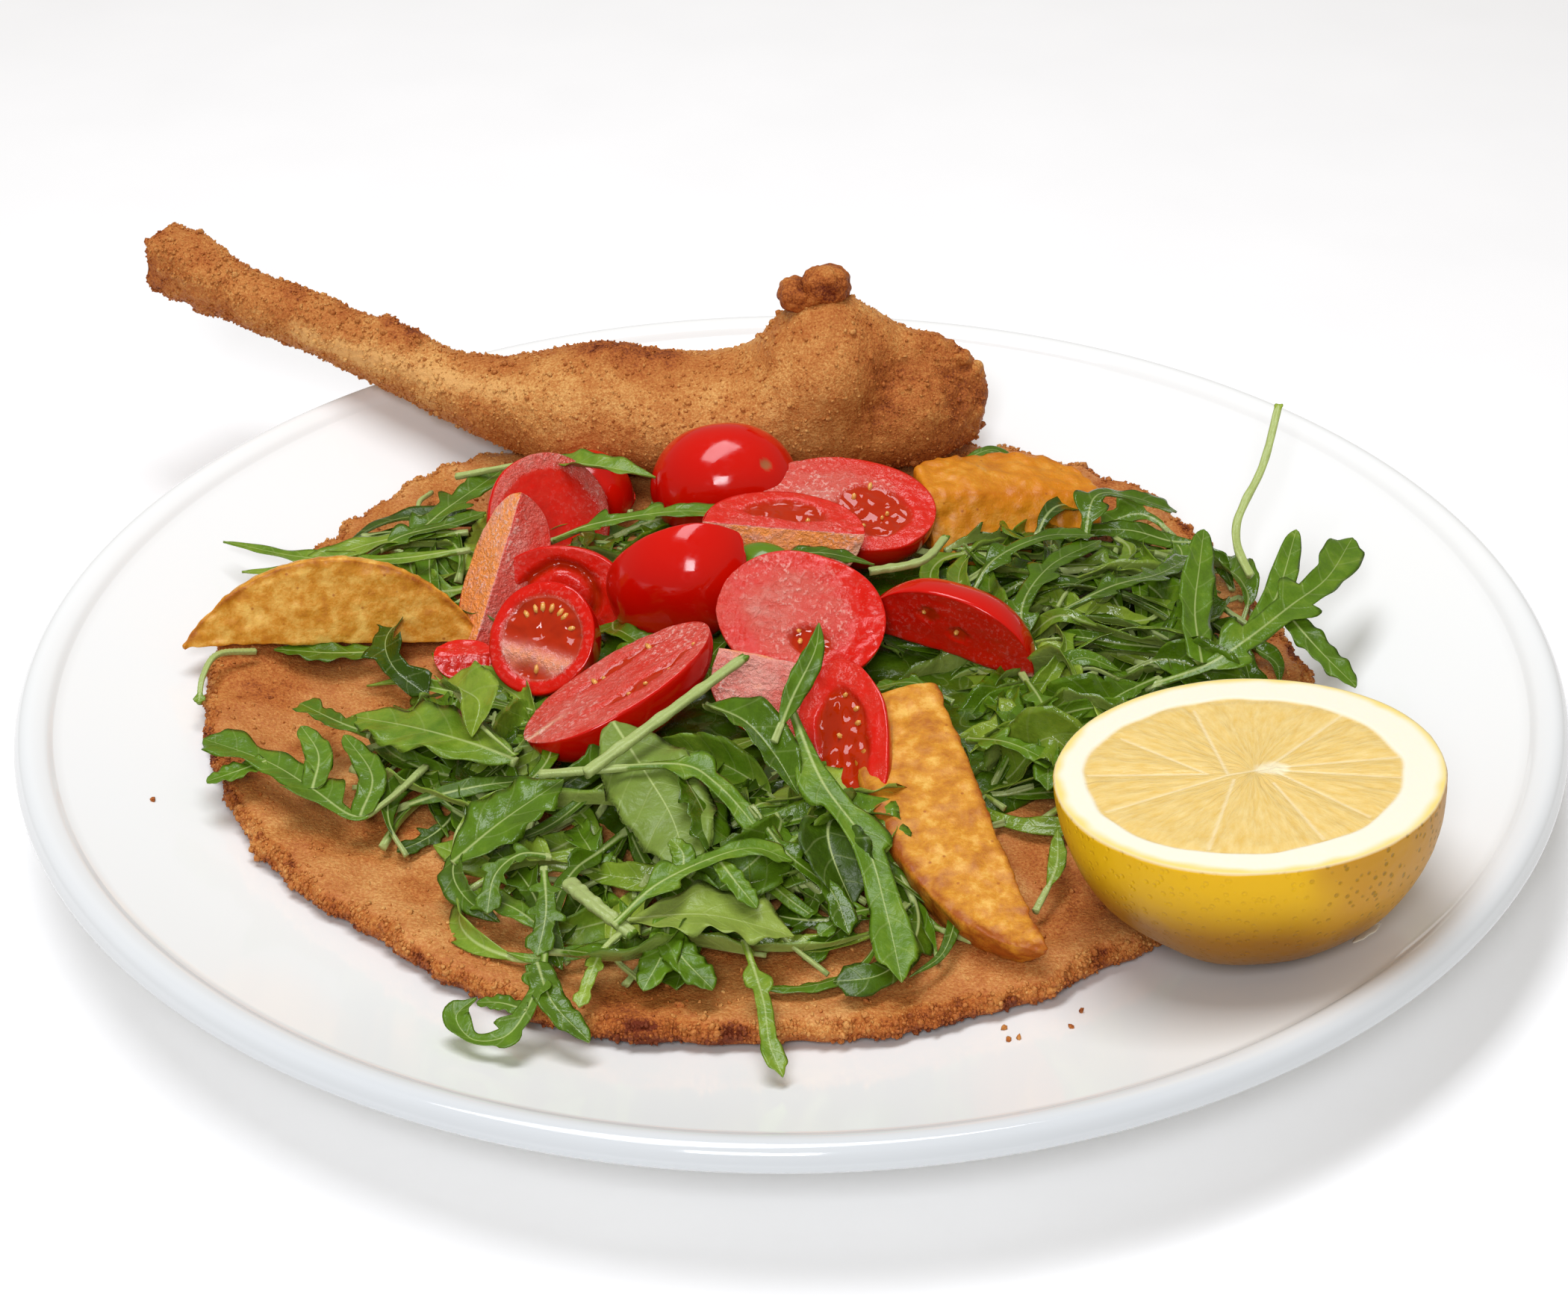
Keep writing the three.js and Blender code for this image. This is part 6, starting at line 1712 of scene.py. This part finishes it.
class SCHNITZEL_OT_trimmings(bpy.types.Operator):
    """Make the film of juice by the lemon and the crumbs that fell on the plate"""

    bl_idname = "schnitzel.trimmings"
    bl_label = "Juice and fallen crumbs"

    def execute(self, context):
        rng = np.random.default_rng(3)
        x, y = (np.array(FALLEN) + rng.normal(0, FALLEN_SPREAD, (len(FALLEN), 2))).T
        places = xyz(x, y, plate_top(np.hypot(x, y)) + GAP)
        sizes = rng.uniform(0.3, 0.7, places.shape)
        values = {"toast": rng.uniform(0.3, 0.8, len(places)), "grease": np.full(len(places), 0.1)}
        crumbs = scatter_lumps(places, sizes, rng, 0.3, values)
        finish = bpy.data.materials["fried_breadcrumb"]
        make_piece("fallen_crumbs", [crumbs], finish)
        films = [film_skin(*spot) for spot in FILMS]
        make_piece("dressing_film", films, dressing_film())
        return {"FINISHED"}


# The camera stands on the diner's side and looks down at the plate.
CAMERA_AT = Vector((-1.13, -473.6, 318.6)) * MM
CAMERA_DOWN, CAMERA_ROLL = math.radians(32.07), math.radians(-0.606)
CAMERA_LENS, CAMERA_SENSOR = 69.72, 36.0  # mm
FLOOR_REACH = 4.0  # m
# A long softbox over the table, and a small one behind and above the camera: name, place,
# size (m), and the setting that holds its power.
SOFTBOXES = [
    ("top_softbox", (-0.14, 0.11, 1.12), (0.85, 0.42), "key_power"),
    ("front_softbox", (-0.08, -0.8, 0.64), (0.24, 0.28), "front_power"),
]


class SCHNITZEL_OT_stage(bpy.types.Operator):
    """Make the floor, the soft light and the camera"""

    bl_idname = "schnitzel.stage"
    bl_label = "Stage"

    def execute(self, context):
        scene = context.scene
        settings = scene.stage_settings
        mesh = bpy.data.meshes.new("floor")
        corners = [(-1, -1, 0), (1, -1, 0), (1, 1, 0), (-1, 1, 0)]
        mesh.from_pydata(np.array(corners) * FLOOR_REACH, [], [(0, 1, 2, 3)])
        mesh.materials.append(studio_paper(settings))
        new_object("floor", mesh)
        scene.world = bpy.data.worlds.new("soft_surroundings")
        scene.world.use_nodes = True
        background = scene.world.node_tree.nodes["Background"]
        feed(background, {"Color": "#FFF6E6", "Strength": settings.fill})
        for name, place, (wide, high), power in SOFTBOXES:
            light = bpy.data.lights.new(name, "AREA")
            light.shape, light.size, light.size_y = "RECTANGLE", wide, high
            light.energy = getattr(settings, power)
            light.color = linear("#F7F9FF")[:3]
            lamp = new_object(name, light)
            lamp.location = place
            lamp.rotation_euler = (-lamp.location).to_track_quat("-Z", "Y").to_euler()
        camera = bpy.data.cameras.new("camera")
        camera.sensor_fit, camera.sensor_width = "HORIZONTAL", CAMERA_SENSOR
        camera.lens = CAMERA_LENS
        camera.clip_start, camera.clip_end = 0.01, 20
        scene.camera = new_object("camera", camera)
        level = Matrix.Rotation(math.pi / 2 - CAMERA_DOWN, 4, "X")
        roll = Matrix.Rotation(CAMERA_ROLL, 4, "Z")
        scene.camera.matrix_world = Matrix.Translation(CAMERA_AT) @ level @ roll
        scene.view_settings.view_transform = "Standard"
        return {"FINISHED"}


OPERATORS = [
    SCHNITZEL_OT_plate,
    SCHNITZEL_OT_cutlet,
    SCHNITZEL_OT_potatoes,
    SCHNITZEL_OT_tomatoes,
    SCHNITZEL_OT_lemon,
    SCHNITZEL_OT_salad,
    SCHNITZEL_OT_trimmings,
    SCHNITZEL_OT_stage,
]


class SCHNITZEL_PT_sidebar(bpy.types.Panel):
    """The operators and their settings"""

    bl_idname = "SCHNITZEL_PT_sidebar"
    bl_label = "Schnitzel plate"
    bl_space_type = "VIEW_3D"
    bl_region_type = "UI"
    bl_category = "Schnitzel"

    def draw(self, context):
        for operator in OPERATORS:
            self.layout.operator(operator.bl_idname)
        for name, group in SETTINGS.items():
            box = self.layout.box()
            for key in group.__annotations__:
                box.prop(getattr(context.scene, name), key)


def register():
    for name, group in SETTINGS.items():
        bpy.utils.register_class(group)
        setattr(bpy.types.Scene, name, PointerProperty(type=group))
    for made in [*OPERATORS, SCHNITZEL_PT_sidebar]:
        bpy.utils.register_class(made)


def unregister():
    for made in reversed([*OPERATORS, SCHNITZEL_PT_sidebar]):
        bpy.utils.unregister_class(made)
    for name, group in SETTINGS.items():
        delattr(bpy.types.Scene, name)
        bpy.utils.unregister_class(group)


def main():
    register()
    for operator in OPERATORS:
        group, name = operator.bl_idname.split(".")
        getattr(getattr(bpy.ops, group), name)()


if __name__ == "__main__":
    main()
